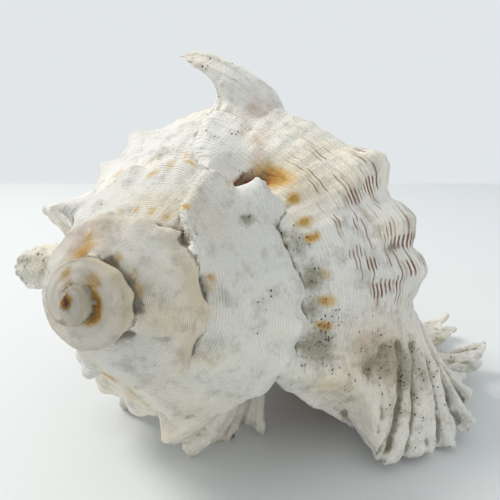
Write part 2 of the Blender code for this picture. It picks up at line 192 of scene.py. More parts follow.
@dataclass(frozen=True)
class Growth:
    """How the shell grows and how it lies.

    Its own frame has the apex at the origin and the axis along Z. Radii and heights are in shoulder radii
    of the last whorl, and growth angles in degrees, 0 at the lip.
    """

    unit: float = 0.052
    per_turn: float = 1.884
    first_angle: float = -1560.0
    last_angle: float = 0.0
    axis_rise: float = 13.54
    roll: float = 43.76
    apex_place: tuple[float, float, float] = (-0.0095, -0.088, 0.0506)
    early_girth: Table = ((-1600.0, 0.66), (-1460.0, 0.72), (-1100.0, 0.88), (-800.0, 1.0))

    def size_at(self, angle: Any) -> np.ndarray:
        """Size of the shell at a growth angle, 1 at the lip."""
        return self.per_turn ** (np.asarray(angle, float) / 360.0)

    def place(self, angle: Any, radius: Any, height: Any) -> np.ndarray:
        """Point of the growing shell.

        Args:
            angle: Growth angle in degrees.
            radius: Distance from the axis, in the size that the shell has at that angle.
            height: Height along the axis, in the same size.

        Returns:
            Points in the shell's own frame, one in each row.
        """
        turn = np.radians(angle)
        size = self.size_at(angle)
        radius = radius * read(self.early_girth, angle)
        out = size * radius
        return np.stack([out * np.cos(turn), -out * np.sin(turn), size * height + 0 * turn], -1)

    def lay_down(self) -> Matrix:
        """Matrix from the shell's own frame, in metres, to how it lies on the ground."""
        rise, roll = math.radians(self.axis_rise), math.radians(self.roll)
        side = np.array([0.0, -math.sin(rise), -math.cos(rise)])
        across = np.array([1.0, 0.0, 0.0])
        axes = (
            math.cos(roll) * across + math.sin(roll) * side,
            math.sin(roll) * across - math.cos(roll) * side,
            np.array([0.0, -math.cos(rise), math.sin(rise)]),
        )
        matrix = Matrix.Identity(4)
        for row in range(3):
            for column, axis in enumerate(axes):
                matrix[row][column] = axis[row]
            matrix[row][3] = self.apex_place[row]
        return matrix


@dataclass
class Patch:
    """A closed mesh with its growth marks: one value of each mark for each point."""

    points: np.ndarray
    faces: list[tuple[int, ...]]
    turn: np.ndarray
    along: np.ndarray
    lift: np.ndarray
    side: np.ndarray
    part: np.ndarray

    def __post_init__(self) -> None:
        """Turn the faces outwards."""
        total = 0.0
        for face in self.faces:
            start = self.points[face[0]]
            for a, b in zip(face[1:-1], face[2:]):
                total += float(np.dot(start, np.cross(self.points[a], self.points[b])))
        if total < 0.0:
            self.faces = [face[::-1] for face in self.faces]

    @staticmethod
    def swept(sections: np.ndarray, turn: Any, along: Any, lift: Any, side: Any, part: float) -> "Patch":
        """Closed solid through a row of closed outlines.

        Args:
            sections: The outlines' points, as rows by points by three.
            turn: Growth angle of each point.
            along: Place along the wall of each point.
            lift: Height over the wall of each point.
            side: 1 on a varix's front, -1 on its back, 0 elsewhere.
            part: What the solid is, as a number.

        Returns:
            The solid as a patch.
        """
        rows, around = sections.shape[:2]
        faces: list[tuple[int, ...]] = []
        for i in range(rows - 1):
            for j in range(around):
                k = (j + 1) % around
                faces.append((i * around + j, i * around + k, (i + 1) * around + k, (i + 1) * around + j))
        faces.append(tuple(range(around))[::-1])
        faces.append(tuple((rows - 1) * around + j for j in range(around)))
        marks = (turn, along, lift, side)
        flat = [np.broadcast_to(np.asarray(mark, float), (rows, around)).ravel() for mark in marks]
        return Patch(sections.reshape(-1, 3), faces, *flat, np.full(rows * around, float(part)))

    @staticmethod
    def joined(patches: Sequence["Patch"]) -> "Patch":
        """One patch from several.

        Args:
            patches: The patches to join.

        Returns:
            All of their points, faces and marks in one.
        """
        faces: list[tuple[int, ...]] = []
        start = 0
        for patch in patches:
            faces += [tuple(i + start for i in face) for face in patch.faces]
            start += len(patch.points)
        names = ("turn", "along", "lift", "side", "part")
        marks = [np.concatenate([getattr(patch, name) for patch in patches]) for name in names]
        return Patch(np.concatenate([patch.points for patch in patches]), faces, *marks)

    def as_object(self, name: str, unit: float, matrix: Matrix) -> bpy.types.Object:
        """Object of the patch, laid down.

        Args:
            name: The object's name.
            unit: Length of the patch's own unit in metres.
            matrix: How it lies.

        Returns:
            The new object, at the origin.
        """
        mesh = bpy.data.meshes.new(name)
        mesh.from_pydata((self.points * unit).tolist(), [], self.faces)
        mesh.transform(matrix)
        mesh.update()
        thing = bpy.data.objects.new(name, mesh)
        bpy.context.scene.collection.objects.link(thing)
        return thing


@dataclass(frozen=True)
class Wall:
    """Outer wall of a whorl, from the suture to the base, and what swells or hollows it."""

    outline: Table = (
        (0.445, -0.745),
        (0.495, -0.785),
        (0.61, -0.880),
        (0.74, -1.015),
        (0.855, -1.150),
        (0.930, -1.265),
        (0.930, -1.39),
        (0.900, -1.60),
        (0.850, -1.85),
        (0.765, -2.10),
        (0.63, -2.35),
        (0.47, -2.58),
        (0.33, -2.78),
        (0.24, -2.95),
    )
    core: Table = ((0.10, -2.95), (0.02, -2.60), (0.02, -0.76), (0.25, -0.75))
    steps: int = 90
    step_angle: float = 2.0
    shoulder_at: float = 0.27
    ribs: Table = (
        (-32.0, 0.6),
        (-50.0, 1.3),
        (-64.0, 1.4),
        (-82.0, 1.7),
        (-166.0, 1.3),
        (-183.0, 1.3),
        (-202.0, 0.8),
        (-264.0, 0.9),
        (-280.0, 0.9),
        (-298.0, 0.9),
        (-361.0, 0.9),
        (-376.0, 1.5),
        (-391.0, 1.9),
        (-406.0, 1.1),
        (-481.0, 1.4),
        (-491.0, 1.4),
        (-509.0, 1.3),
        (-580.0, 1.0),
        (-596.0, 1.0),
        (-614.0, 1.0),
        (-686.0, 1.2),
        (-702.0, 1.4),
        (-720.0, 1.2),
        (-796.0, 1.2),
        (-812.0, 1.2),
        (-830.0, 1.2),
    )
    rib_height: float = 0.056
    rib_width: float = 5.5
    early_swell: float = 0.14
    early_groove: float = 0.07
    girth: Table = (
        (-330.0, 0.0),
        (-260.0, 0.0),
        (-215.0, -0.04),
        (-185.0, -0.085),
        (-155.0, -0.075),
        (-125.0, -0.01),
        (-90.0, -0.01),
        (-60.0, -0.03),
        (-30.0, -0.03),
        (0.0, 0.0),
    )
    dents: tuple[tuple[float, float, float, float, float], ...] = (
        (-100.0, 0.060, 0.17, 6.5, 0.045),
        (-759.0, 0.285, -0.13, 6.0, 0.05),
        (-748.0, 0.16, -0.09, 6.0, 0.10),
        (-735.0, 0.15, 0.07, 6.0, 0.08),
        (-716.0, 0.29, -0.09, 6.0, 0.05),
        (-695.0, 0.30, -0.10, 6.0, 0.05),
        (-672.0, 0.30, -0.10, 6.0, 0.05),
        (-785.0, 0.27, -0.07, 6.0, 0.05),
        (-810.0, 0.27, -0.07, 6.0, 0.05),
        (-860.0, 0.13, -0.10, 9.0, 0.07),
        (-1105.0, 0.27, -0.10, 8.0, 0.06),
        (-1133.0, 0.27, -0.16, 9.0, 0.06),
        (-1160.0, 0.26, -0.10, 9.0, 0.06),
        (-1205.0, 0.13, -0.10, 12.0, 0.08),
    )
    curve: np.ndarray = field(init=False, repr=False, compare=False)

    def __post_init__(self) -> None:
        """Keep the outline as a fine curve."""
        object.__setattr__(self, "curve", smooth_points(self.outline, 201))

    def at(self, along: Any) -> tuple[np.ndarray, np.ndarray]:
        """Wall's point and outward normal.

        Args:
            along: Place along the wall, 0 at the suture and 1 at the base.

        Returns:
            Radius and height, and the normal's two parts, one in each row.
        """
        along = np.clip(np.asarray(along, float), 0.0, 1.0)
        steps = np.linspace(0.0, 1.0, len(self.curve))

        def read(place: np.ndarray) -> np.ndarray:
            """Point of the curve at a place."""
            return np.stack([np.interp(np.clip(place, 0, 1), steps, self.curve[:, i]) for i in (0, 1)], -1)

        run = read(along + 0.01) - read(along - 0.01)
        run /= np.linalg.norm(run, axis=-1, keepdims=True)
        return read(along), np.stack([-run[..., 1], run[..., 0]], -1)

    def lift(self, angle: Any, along: Any) -> np.ndarray:
        """How far ribs, dents and the whorl's own girth move the wall outwards.

        Args:
            angle: Growth angle in degrees.
            along: Place along the wall.

        Returns:
            The lift in units of the shell's size there.
        """
        lift = np.zeros(np.broadcast(np.asarray(angle), np.asarray(along)).shape)
        for centre, strength in self.ribs:
            lift = lift + self.rib_height * strength * bump(angle, centre, self.rib_width)
        lift = lift * (bump(along, self.shoulder_at + 0.03, 0.085) + 0.35 * bump(along, 0.50, 0.16))
        lift = lift + read(self.girth, angle) * bump(along, self.shoulder_at + 0.08, 0.22)
        early = read(((-1180.0, 2.0), (-1080.0, 1.5), (-740.0, 1.0), (-640.0, 0.0)), angle)
        lift = lift + self.early_swell * early * bump(along, 0.225, 0.07)
        lift = lift - self.early_groove * early * bump(along, 0.02, 0.045)
        for centre, place, depth, spread, reach in self.dents:
            lift = lift - depth * bump(angle, centre, spread) * bump(along, place, reach)
        return lift


EDGE_DRIFT: Table = (
    (0.0, 17.0),
    (0.07, 9.0),
    (0.12, 4.0),
    (0.20, 0.0),
    (0.40, 1.0),
    (0.70, 4.0),
    (1.0, 6.0),
)
EARLY_FRONT = 12.0


def drifted(share: float, ahead: float = 0.0) -> Table:
    """The usual drift of a varix's edge along the wall, scaled and moved ahead.

    Args:
        share: How much of the drift it takes.
        ahead: Degrees to add.

    Returns:
        Place along the wall and degrees ahead of the varix's own angle.
    """
    return tuple((along, share * turn + ahead) for along, turn in EDGE_DRIFT)


@dataclass(frozen=True)
class Frond:
    """One frond of a varix: its place, height, aim and lean in degrees, and the dip after it."""

    along: float
    height: float
    aim: float = 0.0
    lean: float = 0.0
    dip: float = 0.0


@dataclass(frozen=True)
class Varix:
    """A former lip: a blade that rises from the wall, leans back and runs out in fronds."""

    angle: float
    edge: Table
    front: Table
    back: Table
    fronds: tuple[Frond, ...]
    sweep: float = 0.15
    bend: float = 0.0
    puff: float = 0.3
    ramp: float = 0.04
    low: float = 0.04
    scoop: float = 5.0
    hook: float = 1.0
    ruffle: float = 0.6
    overhang: float = 0.0
    foot_depth: float = 0.05
    edge_drop: float = 0.008
    frond_start: float = 0.06
    frond_end: float = 0.11
    thinnest: float = 0.0017
    steps: int = 380
    half_section: int = 20

    def crest(self, along: np.ndarray) -> tuple[np.ndarray, np.ndarray, np.ndarray, np.ndarray]:
        """The edge's height, aim and lean, and the frond share: 1 on a frond and 0 between two.

        Args:
            along: Places along the wall.

        Returns:
            The four values at each place.
        """
        table = [(f.along, f.height, f.aim, f.lean, f.dip) for f in self.fronds]
        places, talls, aims, leans, dips = np.transpose(table)
        step = np.interp(along, places, np.arange(len(places)))
        share = np.cos(math.pi * step) ** 2
        fade = ramp(along, places[0] - self.frond_start, places[0])
        fade = fade * ramp(along, places[-1] + self.frond_end, places[-1])
        peak = np.interp(along, places, talls)
        tall = peak * (1.0 - dips[step.astype(int)] * (1.0 - share)) * fade
        on_ramp = read(((0.02, 1.0), (0.10, 0.75), (0.20, 0.4), (0.26, 0.0)), along)
        base = self.ramp * on_ramp + self.low * (1.0 - on_ramp)
        lean = np.interp(along, places, leans) * (tall / peak) ** self.hook
        return np.maximum(base, tall), np.interp(along, places, aims) * fade, lean, share * fade

    def patch(self, growth: Growth, wall: Wall) -> Patch:
        """The varix as a closed solid.

        Args:
            growth: The shell's growth.
            wall: The whorls' wall.

        Returns:
            The solid with its marks.
        """
        along = np.linspace(0.02, 0.97, self.steps)
        foot, normal = wall.at(along)
        height, aim, lean, share = self.crest(along)
        crinkle = Ripple(int(-self.angle), 20).at(np.stack([along * 90.0, along * 37.0, 0 * along], 1))
        height = height * (1.0 + 0.05 * self.ruffle * crinkle)
        stem = read(self.edge, along)
        flange = self.overhang * ramp(along, 0.02, 0.06) * ramp(along, 0.30, 0.20)
        rim = stem - lean - flange + 2.0 * self.ruffle * np.clip(height - 0.05, 0.0, 0.4) * crinkle
        front, reach = read(self.front, along), read(self.back, along)
        groove = share * np.clip(height / 0.22, 0.0, 1.3)
        aim = np.radians(aim)
        out = np.stack(
            [
                normal[:, 0] * np.cos(aim) - normal[:, 1] * np.sin(aim),
                normal[:, 0] * np.sin(aim) + normal[:, 1] * np.cos(aim),
            ],
            -1,
        )
        spread = self.thinnest / (growth.unit * float(growth.size_at(self.angle)))
        edge = np.degrees(spread / np.maximum(foot[:, 0] + height * out[:, 0], 0.3))
        spread_out = np.clip((height - self.foot_depth) / 0.15, 0.0, 1.0)
        back = 0.6 * stem + 0.4 * (rim + flange) - edge - (3.0 + (reach - 3.0) * spread_out)
        scoop = self.scoop * groove
        upright = rim + self.bend * (stem - rim)
        turns, lifts, sides = [], [], []
        for t in np.linspace(0.0, 1.0, self.half_section):
            middle = upright + (0.45 - 0.20 * groove) * (front - upright)
            turn = (1 - t) ** 2 * front + 2 * t * (1 - t) * middle + t * t * rim
            lift = (1 - t) ** 2 * -self.foot_depth + 2 * t * (1 - t) * (self.puff + 0.25 * groove) * height
            lift = lift + t * t * height
            turns.append(turn - scoop * t * (1.25 - t))
            lifts.append(lift)
            sides.append(np.full_like(along, 1.0 - 0.5 * t**6))
        for t in np.linspace(0.0, 1.0, self.half_section):
            middle = upright - edge + 0.2 * groove * (front - rim) - self.sweep * (rim - back)
            turn = (1 - t) ** 2 * (rim - edge) + 2 * t * (1 - t) * middle + t * t * back
            lift = (1 - t) ** 2 * (height - self.edge_drop)
            lift = lift + 2 * t * (1 - t) * (0.12 + 0.25 * groove) * height
            turns.append(turn - 0.7 * scoop * (1 - t) * (0.25 + t))
            lifts.append(lift + t * t * -self.foot_depth)
            sides.append(np.full_like(along, -1.0 + 0.5 * (1 - t) ** 6))
        turns, lifts, sides = (np.stack(values, 1) for values in (turns, lifts, sides))
        spot = foot[:, None] + out[:, None] * lifts[..., None]
        sections = growth.place(self.angle + turns, spot[..., 0], spot[..., 1])
        return Patch.swept(sections, self.angle + turns, along[:, None], lifts, sides, Part.VARIX.value)


LIP = Varix(
    -3.0,
    edge=((0.0, -3.0), (0.07, -9.0), (0.125, -12.0), (0.185, -11.0), (0.225, 0.0), (1.0, 0.0)),
    front=((0.0, 2.5), (1.0, 2.5)),
    back=((0.0, 32.0), (0.44, 32.0), (0.52, 14.0), (1.0, 12.0)),
    fronds=(
        Frond(0.225, 0.2, -8.0, -2.5, 0.12),
        Frond(0.25, 0.225, -2.0, 0.5, 0.18),
        Frond(0.29, 0.285, 14.0, 5.0, 0.14),
        Frond(0.335, 0.375, 20.0, 8.5, 0.12),
        Frond(0.38, 0.45, 27.0, 13.0, 0.1),
        Frond(0.43, 0.43, 26.0, 17.0, 0.08),
        Frond(0.465, 0.4, 22.0, 18.5, 0.65),
        Frond(0.53, 0.5, 36.0, 22.5, 0.1),
        Frond(0.58, 0.6, 12.0, 25.0, 0.65),
        Frond(0.66, 0.52, 26.0, 25.0, 0.1),
        Frond(0.7, 0.58, 8.0, 26.0, 0.4),
        Frond(0.8, 0.42, -5.0, 18.0, 0.3),
        Frond(0.9, 0.28, -15.0, 10.0, 0.0),
    ),
    sweep=0.5,
    bend=0.5,
    ramp=0.035,
    low=0.05,
    scoop=3.0,
    hook=1.3,
)
CREST = Varix(
    -122.0,
    edge=(
        (0.0, 6.0), (0.04, 4.0), (0.07, -2.0), (0.11, -5.0), (0.16, -7.0), (0.22, -4.0),
        (0.27, 0.0), (0.4, 1.0), (1.0, 5.0),
    ),
    front=(
        (0.0, 17.0), (0.1, 18.0), (0.125, 16.0), (0.175, 11.0), (0.23, 8.0), (0.32, 12.0),
        (0.45, 16.0), (1.0, 20.0),
    ),
    back=((0.0, 7.0),),
    fronds=(
        Frond(0.262, 0.275, 0.0, 15.0, 0.12),
        Frond(0.32, 0.13, 20.0, 6.0, 0.25),
        Frond(0.38, 0.085, 25.0, 0.0, 0.25),
        Frond(0.48, 0.14, 10.0, -3.0, 0.4),
        Frond(0.64, 0.22, 0.0, 5.0, 0.5),
        Frond(0.82, 0.22, -14.0, 6.0, 0.0),
    ),
    bend=0.9,
    puff=0.6,
    ramp=0.055,
    scoop=9.0,
    hook=2.0,
)
FAR_SIDE = Varix(
    -222.0,
    edge=((0.0, 26.0), (0.16, 22.0), (0.28, 18.0), (0.36, 6.0), (0.45, 0.0), (1.0, 2.0)),
    front=((0.0, 38.0), (0.16, 34.0), (0.28, 30.0), (0.36, 20.0), (0.45, 12.0), (1.0, 14.0)),
    back=((0.0, 12.0),),
    fronds=(
        Frond(0.285, 0.2, 5.0, 0.0, 0.6),
        Frond(0.42, 0.22, 5.0, 3.0, 0.5),
        Frond(0.56, 0.18, -4.0, 6.0, 0.5),
        Frond(0.74, 0.22, -14.0, 6.0, 0.0),
    ),
    ramp=0.03,
    scoop=6.0,
)
FOOT = Varix(
    -319.0,
    edge=drifted(0.1),
    front=drifted(0.1, 12.0),
    back=((0.0, 24.0),),
    fronds=(
        Frond(0.28, 0.2, -30.0, -10.0, 0.15),
        Frond(0.34, 0.45, -15.0, -6.5, 0.12),
        Frond(0.4, 0.45, -17.0, -1.0, 0.06),
        Frond(0.45, 0.54, -17.0, 2.0, 0.4),
        Frond(0.57, 0.56, 20.0, 14.0, 0.35),
        Frond(0.72, 0.3, -5.0, 8.0, 0.3),
        Frond(0.86, 0.22, -12.0, 4.0, 0.0),
    ),
    sweep=0.4,
    ramp=0.03,
    low=0.05,
    scoop=4.0,
)
COLLAR = Varix(
    -432.0,
    edge=(
        (0.0, 6.0), (0.05, -4.0), (0.09, -12.0), (0.15, -17.0), (0.2, -18.0), (0.31, -18.0),
        (0.36, -10.0), (0.47, -3.0), (1.0, 0.0),
    ),
    front=((0.0, 24.0), (0.08, 20.0), (0.163, 11.0), (0.225, 2.0), (0.3, -1.0), (0.45, 6.0), (1.0, 10.0)),
    back=((0.0, 10.0),),
    fronds=(
        Frond(0.13, 0.14, 0.0, 0.0, 0.0),
        Frond(0.225, 0.22, 8.0, 0.0, 0.65),
        Frond(0.305, 0.20, 0.0, 0.0, 0.15),
        Frond(0.36, 0.18, 0.0, 0.0, 0.15),
        Frond(0.46, 0.08, 0.0, 0.0, 0.0),
    ),
    puff=0.22,
    ramp=0.20,
    low=0.06,
    overhang=13.0,
)


def early_varix(angle: float, drift: float, reach: float, frond: Frond, **form: float) -> Varix:
    """One varix of the spire, with a single frond on the shoulder.

    Args:
        angle: Its growth angle in degrees.
        drift: How much of the usual drift its edge takes.
        reach: How far its back runs out, in degrees.
        frond: Its frond.
        form: What else differs from the usual form.

    Returns:
        The varix.
    """
    return Varix(angle, drifted(drift), drifted(drift, EARLY_FRONT), ((0.0, reach),), (frond,), **form)


SPIRE = (
    early_varix(-538.0, 1.0, 12.0, Frond(0.26, 0.18, 10.0, 6.0, 0.0), ramp=0.07),
    early_varix(-645.0, 0.5, 16.0, Frond(0.27, 0.15, 0.0, 0.0, 0.0), ramp=0.07),
    early_varix(-740.0, 0.6, 12.0, Frond(0.25, 0.24, 8.0, 6.0, 0.0), ramp=0.10, low=0.05),
    early_varix(-850.0, 0.6, 12.0, Frond(0.26, 0.19, 6.0, 5.0, 0.0), ramp=0.10, low=0.05, scoop=4.0),
    early_varix(-958.0, 0.6, 12.0, Frond(0.26, 0.17, 6.0, 5.0, 0.0), ramp=0.10, low=0.05, scoop=4.0),
)


@dataclass(frozen=True)
class Whorls:
    """The coiled body, solid right through."""

    def patch(self, growth: Growth, wall: Wall) -> Patch:
        """The body as a closed solid.

        Args:
            growth: The shell's growth.
            wall: The whorls' wall.

        Returns:
            The solid with its marks.
        """
        along = np.linspace(0.0, 1.0, wall.steps)
        foot, normal = wall.at(along)
        core = np.array(wall.core)
        turns = np.arange(growth.first_angle, growth.last_angle + 0.1, wall.step_angle)
        sections = []
        for turn in turns:
            outline = foot + normal * wall.lift(turn, along)[:, None]
            outline = np.vstack([outline, core])
            sections.append(growth.place(turn, outline[:, 0], outline[:, 1]))
        marks = np.concatenate([along, np.ones(len(core))])
        return Patch.swept(np.array(sections), turns[:, None], marks[None, :], 0.0, 0.0, Part.WALL.value)


@dataclass(frozen=True)
class Leaf:
    """Leaf-like frond that stands out from the wall, broad along the growth."""

    start: float = -233.5
    end: float = -217.5
    reach: Table = ((0.0, 1.22), (0.08, 1.33), (0.35, 1.365), (0.55, 1.35), (0.85, 1.21), (1.0, 1.08))
    root: float = 0.80
    height: float = -1.33
    bow: float = 0.05
    droop: float = -0.02
    pleat: float = 0.012
    pleats: float = 3.0
    thickness: float = 0.045
    rows: int = 70
    half_section: int = 40

    def patch(self, growth: Growth) -> Patch:
        """The frond as a closed solid.

        Args:
            growth: The shell's growth.

        Returns:
            The solid with its marks.
        """
        share = np.linspace(0.0, 1.0, self.rows)
        turn = self.start + share * (self.end - self.start)
        reach = read(self.reach, share) * (1.0 + 0.008 * np.sin(share * 47.0))
        out = np.linspace(0.0, 1.0, self.half_section)
        radius = self.root + (reach - self.root)[:, None] * out
        height = self.height + self.bow * (1.0 - (2.0 * share[:, None] - 1.0) ** 2) + self.droop * out**2
        height = height + self.pleat * np.cos(share * self.pleats * 2.0 * math.pi)[:, None] * out
        half = 0.5 * self.thickness * (1.0 - 0.5 * out)
        radii = np.concatenate([radius, radius[:, ::-1]], 1)
        heights = np.concatenate([height + half, (height - half)[:, ::-1]], 1)
        sections = growth.place(np.broadcast_to(turn[:, None], radii.shape), radii, heights)
        lift = np.concatenate([out, out[::-1]])[None, :] * 0.5
        side = np.concatenate([1.0 - 0.5 * out**6, -1.0 + 0.5 * out[::-1] ** 6])[None, :]
        return Patch.swept(sections, turn[:, None], 0.28, lift, side, Part.VARIX.value)


def tube(path: Any, forward: Any, around: int, turn: float, part: Part) -> Patch:
    """Round solid along a row of centres with radii, each ring square to one direction.

    Args:
        path: Centres and radii, as x, y, z and radius in each row.
        forward: The direction that the rings are square to.
        around: Points in each ring.
        turn: Growth angle to mark it with.
        part: What it is.

    Returns:
        The solid with its marks.
    """
    path = smooth_points(path, 40)
    angle = np.linspace(0.0, 2 * math.pi, around, endpoint=False)
    forward = np.array(forward) / np.linalg.norm(forward)
    across = np.cross(forward, (0.0, 1.0, 0.2))
    across /= np.linalg.norm(across)
    ring = np.cos(angle)[:, None] * across + np.sin(angle)[:, None] * np.cross(forward, across)
    sections = path[:, None, :3] + path[:, None, 3:] * ring[None]
    along = np.linspace(0.0, 1.0, len(path))[:, None]
    return Patch.swept(sections, turn, along, 0.0, 0.0, part.value)


@dataclass(frozen=True)
class Canal:
    """The siphonal canal: a tapered tube with an upturned tip, blunt fronds and a narrow groove."""

    path: tuple[tuple[float, float, float, float], ...] = (
        (0.02, 0.0, -1.30, 0.20),
        (0.02, 0.0, -1.9, 0.235),
        (0.04, 0.0, -2.3, 0.255),
        (0.04, 0.02, -2.65, 0.235),
        (0.01, 0.05, -2.95, 0.195),
        (-0.04, 0.10, -3.2, 0.155),
        (-0.08, 0.145, -3.36, 0.115),
    )
    fronds: tuple[tuple[tuple[float, float, float], tuple[float, float, float], float], ...] = (
        ((0.10, 0.03, -2.62), (0.50, 0.12, -2.84), 0.085),
        ((0.06, 0.06, -2.88), (0.40, 0.15, -3.10), 0.075),
        ((-0.02, 0.10, -3.08), (0.26, 0.20, -3.32), 0.06),
        ((-0.05, 0.05, -2.20), (-0.42, -0.02, -2.42), 0.10),
        ((-0.06, 0.06, -2.50), (-0.40, 0.06, -2.76), 0.085),
        ((-0.08, 0.10, -2.80), (-0.36, 0.16, -3.08), 0.07),
    )
    frond_bend: tuple[float, float, float] = (0.0, 0.05, 0.03)
    slot_width: float = 0.075

    def patches(self) -> list[Patch]:
        """The canal and its fronds as closed solids."""
        made = [tube(self.path, (0.0, 0.0, -1.0), 48, -10.0, Part.CANAL)]
        for root, tip, radius in self.fronds:
            made.append(blunt_spine(np.array(root), np.array(tip), radius, np.array(self.frond_bend)))
        return made

    def slot(self) -> Patch:
        """The groove down the canal's mouth side, as a solid to take away."""
        sections = []
        for x, y, z, radius in smooth_points(self.path[2:], 40):
            half = 0.5 * self.slot_width
            reach = radius + 0.15
            corners = ((-half, 0.02), (-half, -reach), (half, -reach), (half, 0.02))
            sections.append([(x + a, y + b, z) for a, b in corners])
        sections.append([(x - 0.05, y + 0.05, z - 0.2) for x, y, z in sections[-1]])
        return Patch.swept(np.array(sections), 0.0, 0.0, 0.0, 0.0, Part.CANAL.value)


def blunt_spine(root: np.ndarray, tip: np.ndarray, radius: float, bend: np.ndarray) -> Patch:
    """Short blunt spine.

    Args:
        root: Where it starts.
        tip: Where it ends.
        radius: Its radius at the root.
        bend: How far its middle is bowed.

    Returns:
        The spine as a closed solid.
    """
    path = []
    for t in np.linspace(0.0, 1.0, 5):
        spot = root + (tip - root) * t + bend * math.sin(math.pi * t)
        path.append((*spot, radius * (1.0 - 0.62 * t)))
    return tube(path, tip - root, 24, -281.0, Part.SPINE)


@dataclass(frozen=True)
class Mouth:
    """The hollow behind the lip."""

    outline: Table = (
        (0.60, -0.98),
        (0.70, -1.13),
        (0.785, -1.28),
        (0.835, -1.45),
        (0.855, -1.64),
        (0.835, -1.86),
        (0.755, -2.09),
        (0.62, -2.31),
        (0.46, -2.50),
        (0.34, -2.56),
        (0.27, -2.42),
        (0.255, -2.15),
        (0.275, -1.85),
        (0.34, -1.60),
        (0.45, -1.38),
        (0.535, -1.16),
    )
    start: float = -300.0
    end: float = 12.0
    fullness: Table = ((-240.0, 0.80), (-130.0, 0.82), (-70.0, 0.96), (-30.0, 1.0))

    def patch(self, growth: Growth) -> Patch:
        """The hollow as a solid to take away.

        Args:
            growth: The shell's growth.

        Returns:
            The solid.
        """
        outline = smooth_points(self.outline, 84, closed=True)
        middle = outline.mean(axis=0)
        turns = np.arange(self.start, self.end + 0.1, 4.0)
        sections = []
        for turn in turns:
            flare = 1.0 + 0.055 * bump(turn, self.end, 22.0)
            narrow = np.clip((turn - self.start) / 60.0, 0.05, 1.0) ** 0.5
            full = np.interp(turn, *np.transpose(self.fullness))
            shape = middle + (outline - middle) * flare * narrow * full
            sections.append(growth.place(turn, shape[:, 0], shape[:, 1]))
        return Patch.swept(np.array(sections), turns[:, None], 0.5, 0.0, 0.0, Part.WALL.value)


@dataclass
class Marks:
    """Growth marks at each point of the surface."""

    turn: np.ndarray
    along: np.ndarray
    lift: np.ndarray
    side: np.ndarray
    part: np.ndarray
    inner: np.ndarray

    @property
    def rim(self) -> np.ndarray:
        """How near a point is to a varix's edge, from 0 to 1."""
        return np.where(self.part > 0.5, np.clip(2.2 * (1.0 - np.abs(self.side)), 0.0, 1.0), 0.0)

    @property
    def front(self) -> np.ndarray:
        """How much a point lies on the front of a varix, from 0 to 1."""
        return np.clip(self.side * 2.0 - 0.6, 0.0, 1.0)

    @property
    def grown(self) -> np.ndarray:
        """1 on whorls and varices, and 0 on the canal and the spines."""
        return (self.part < 1.5).astype(float)


class MarkReader:
    """Reads the growth marks of any point from the solids that the shell was fused from."""

    def __init__(self, patch: Patch, hollow: Patch, growth: Growth) -> None:
        """Keep the solids ready for looking up.

        Args:
            patch: All solids joined.
            hollow: The mouth's hollow.
            growth: The shell's growth.
        """
        self.patch = patch
        self.scale = growth.unit
        self.back_in = growth.lay_down().inverted()
        self.outer = BVHTree.FromPolygons(patch.points.tolist(), patch.faces)
        self.inner = BVHTree.FromPolygons(hollow.points.tolist(), hollow.faces)

    def read(self, points: np.ndarray) -> Marks:
        """Marks of each point.

        Args:
            points: Points as they lie, in metres, one in each row.

        Returns:
            The marks.
        """
        matrix = np.array(self.back_in)
        local = (points @ matrix[:3, :3].T + matrix[:3, 3]) / self.scale
        values = np.zeros((len(points), 5))
        inner = np.zeros(len(points))
        solids = self.patch
        table = np.stack([solids.turn, solids.along, solids.lift, solids.side, solids.part], 1)
        near_wall = 0.0006 / self.scale
        spots = [Vector(point) for point in self.patch.points]
        for i, spot in enumerate(local):
            place, _, index, _ = self.outer.find_nearest(Vector(spot))
            corners = list(self.patch.faces[index])
            weight = poly_3d_calc([spots[corner] for corner in corners], place)
            values[i] = weight @ table[corners]
            _, _, _, depth = self.inner.find_nearest(Vector(spot), near_wall * 2.0)
            if depth is not None:
                inner[i] = 1.0 if depth < near_wall else 0.0
        return Marks(*values.T, inner)


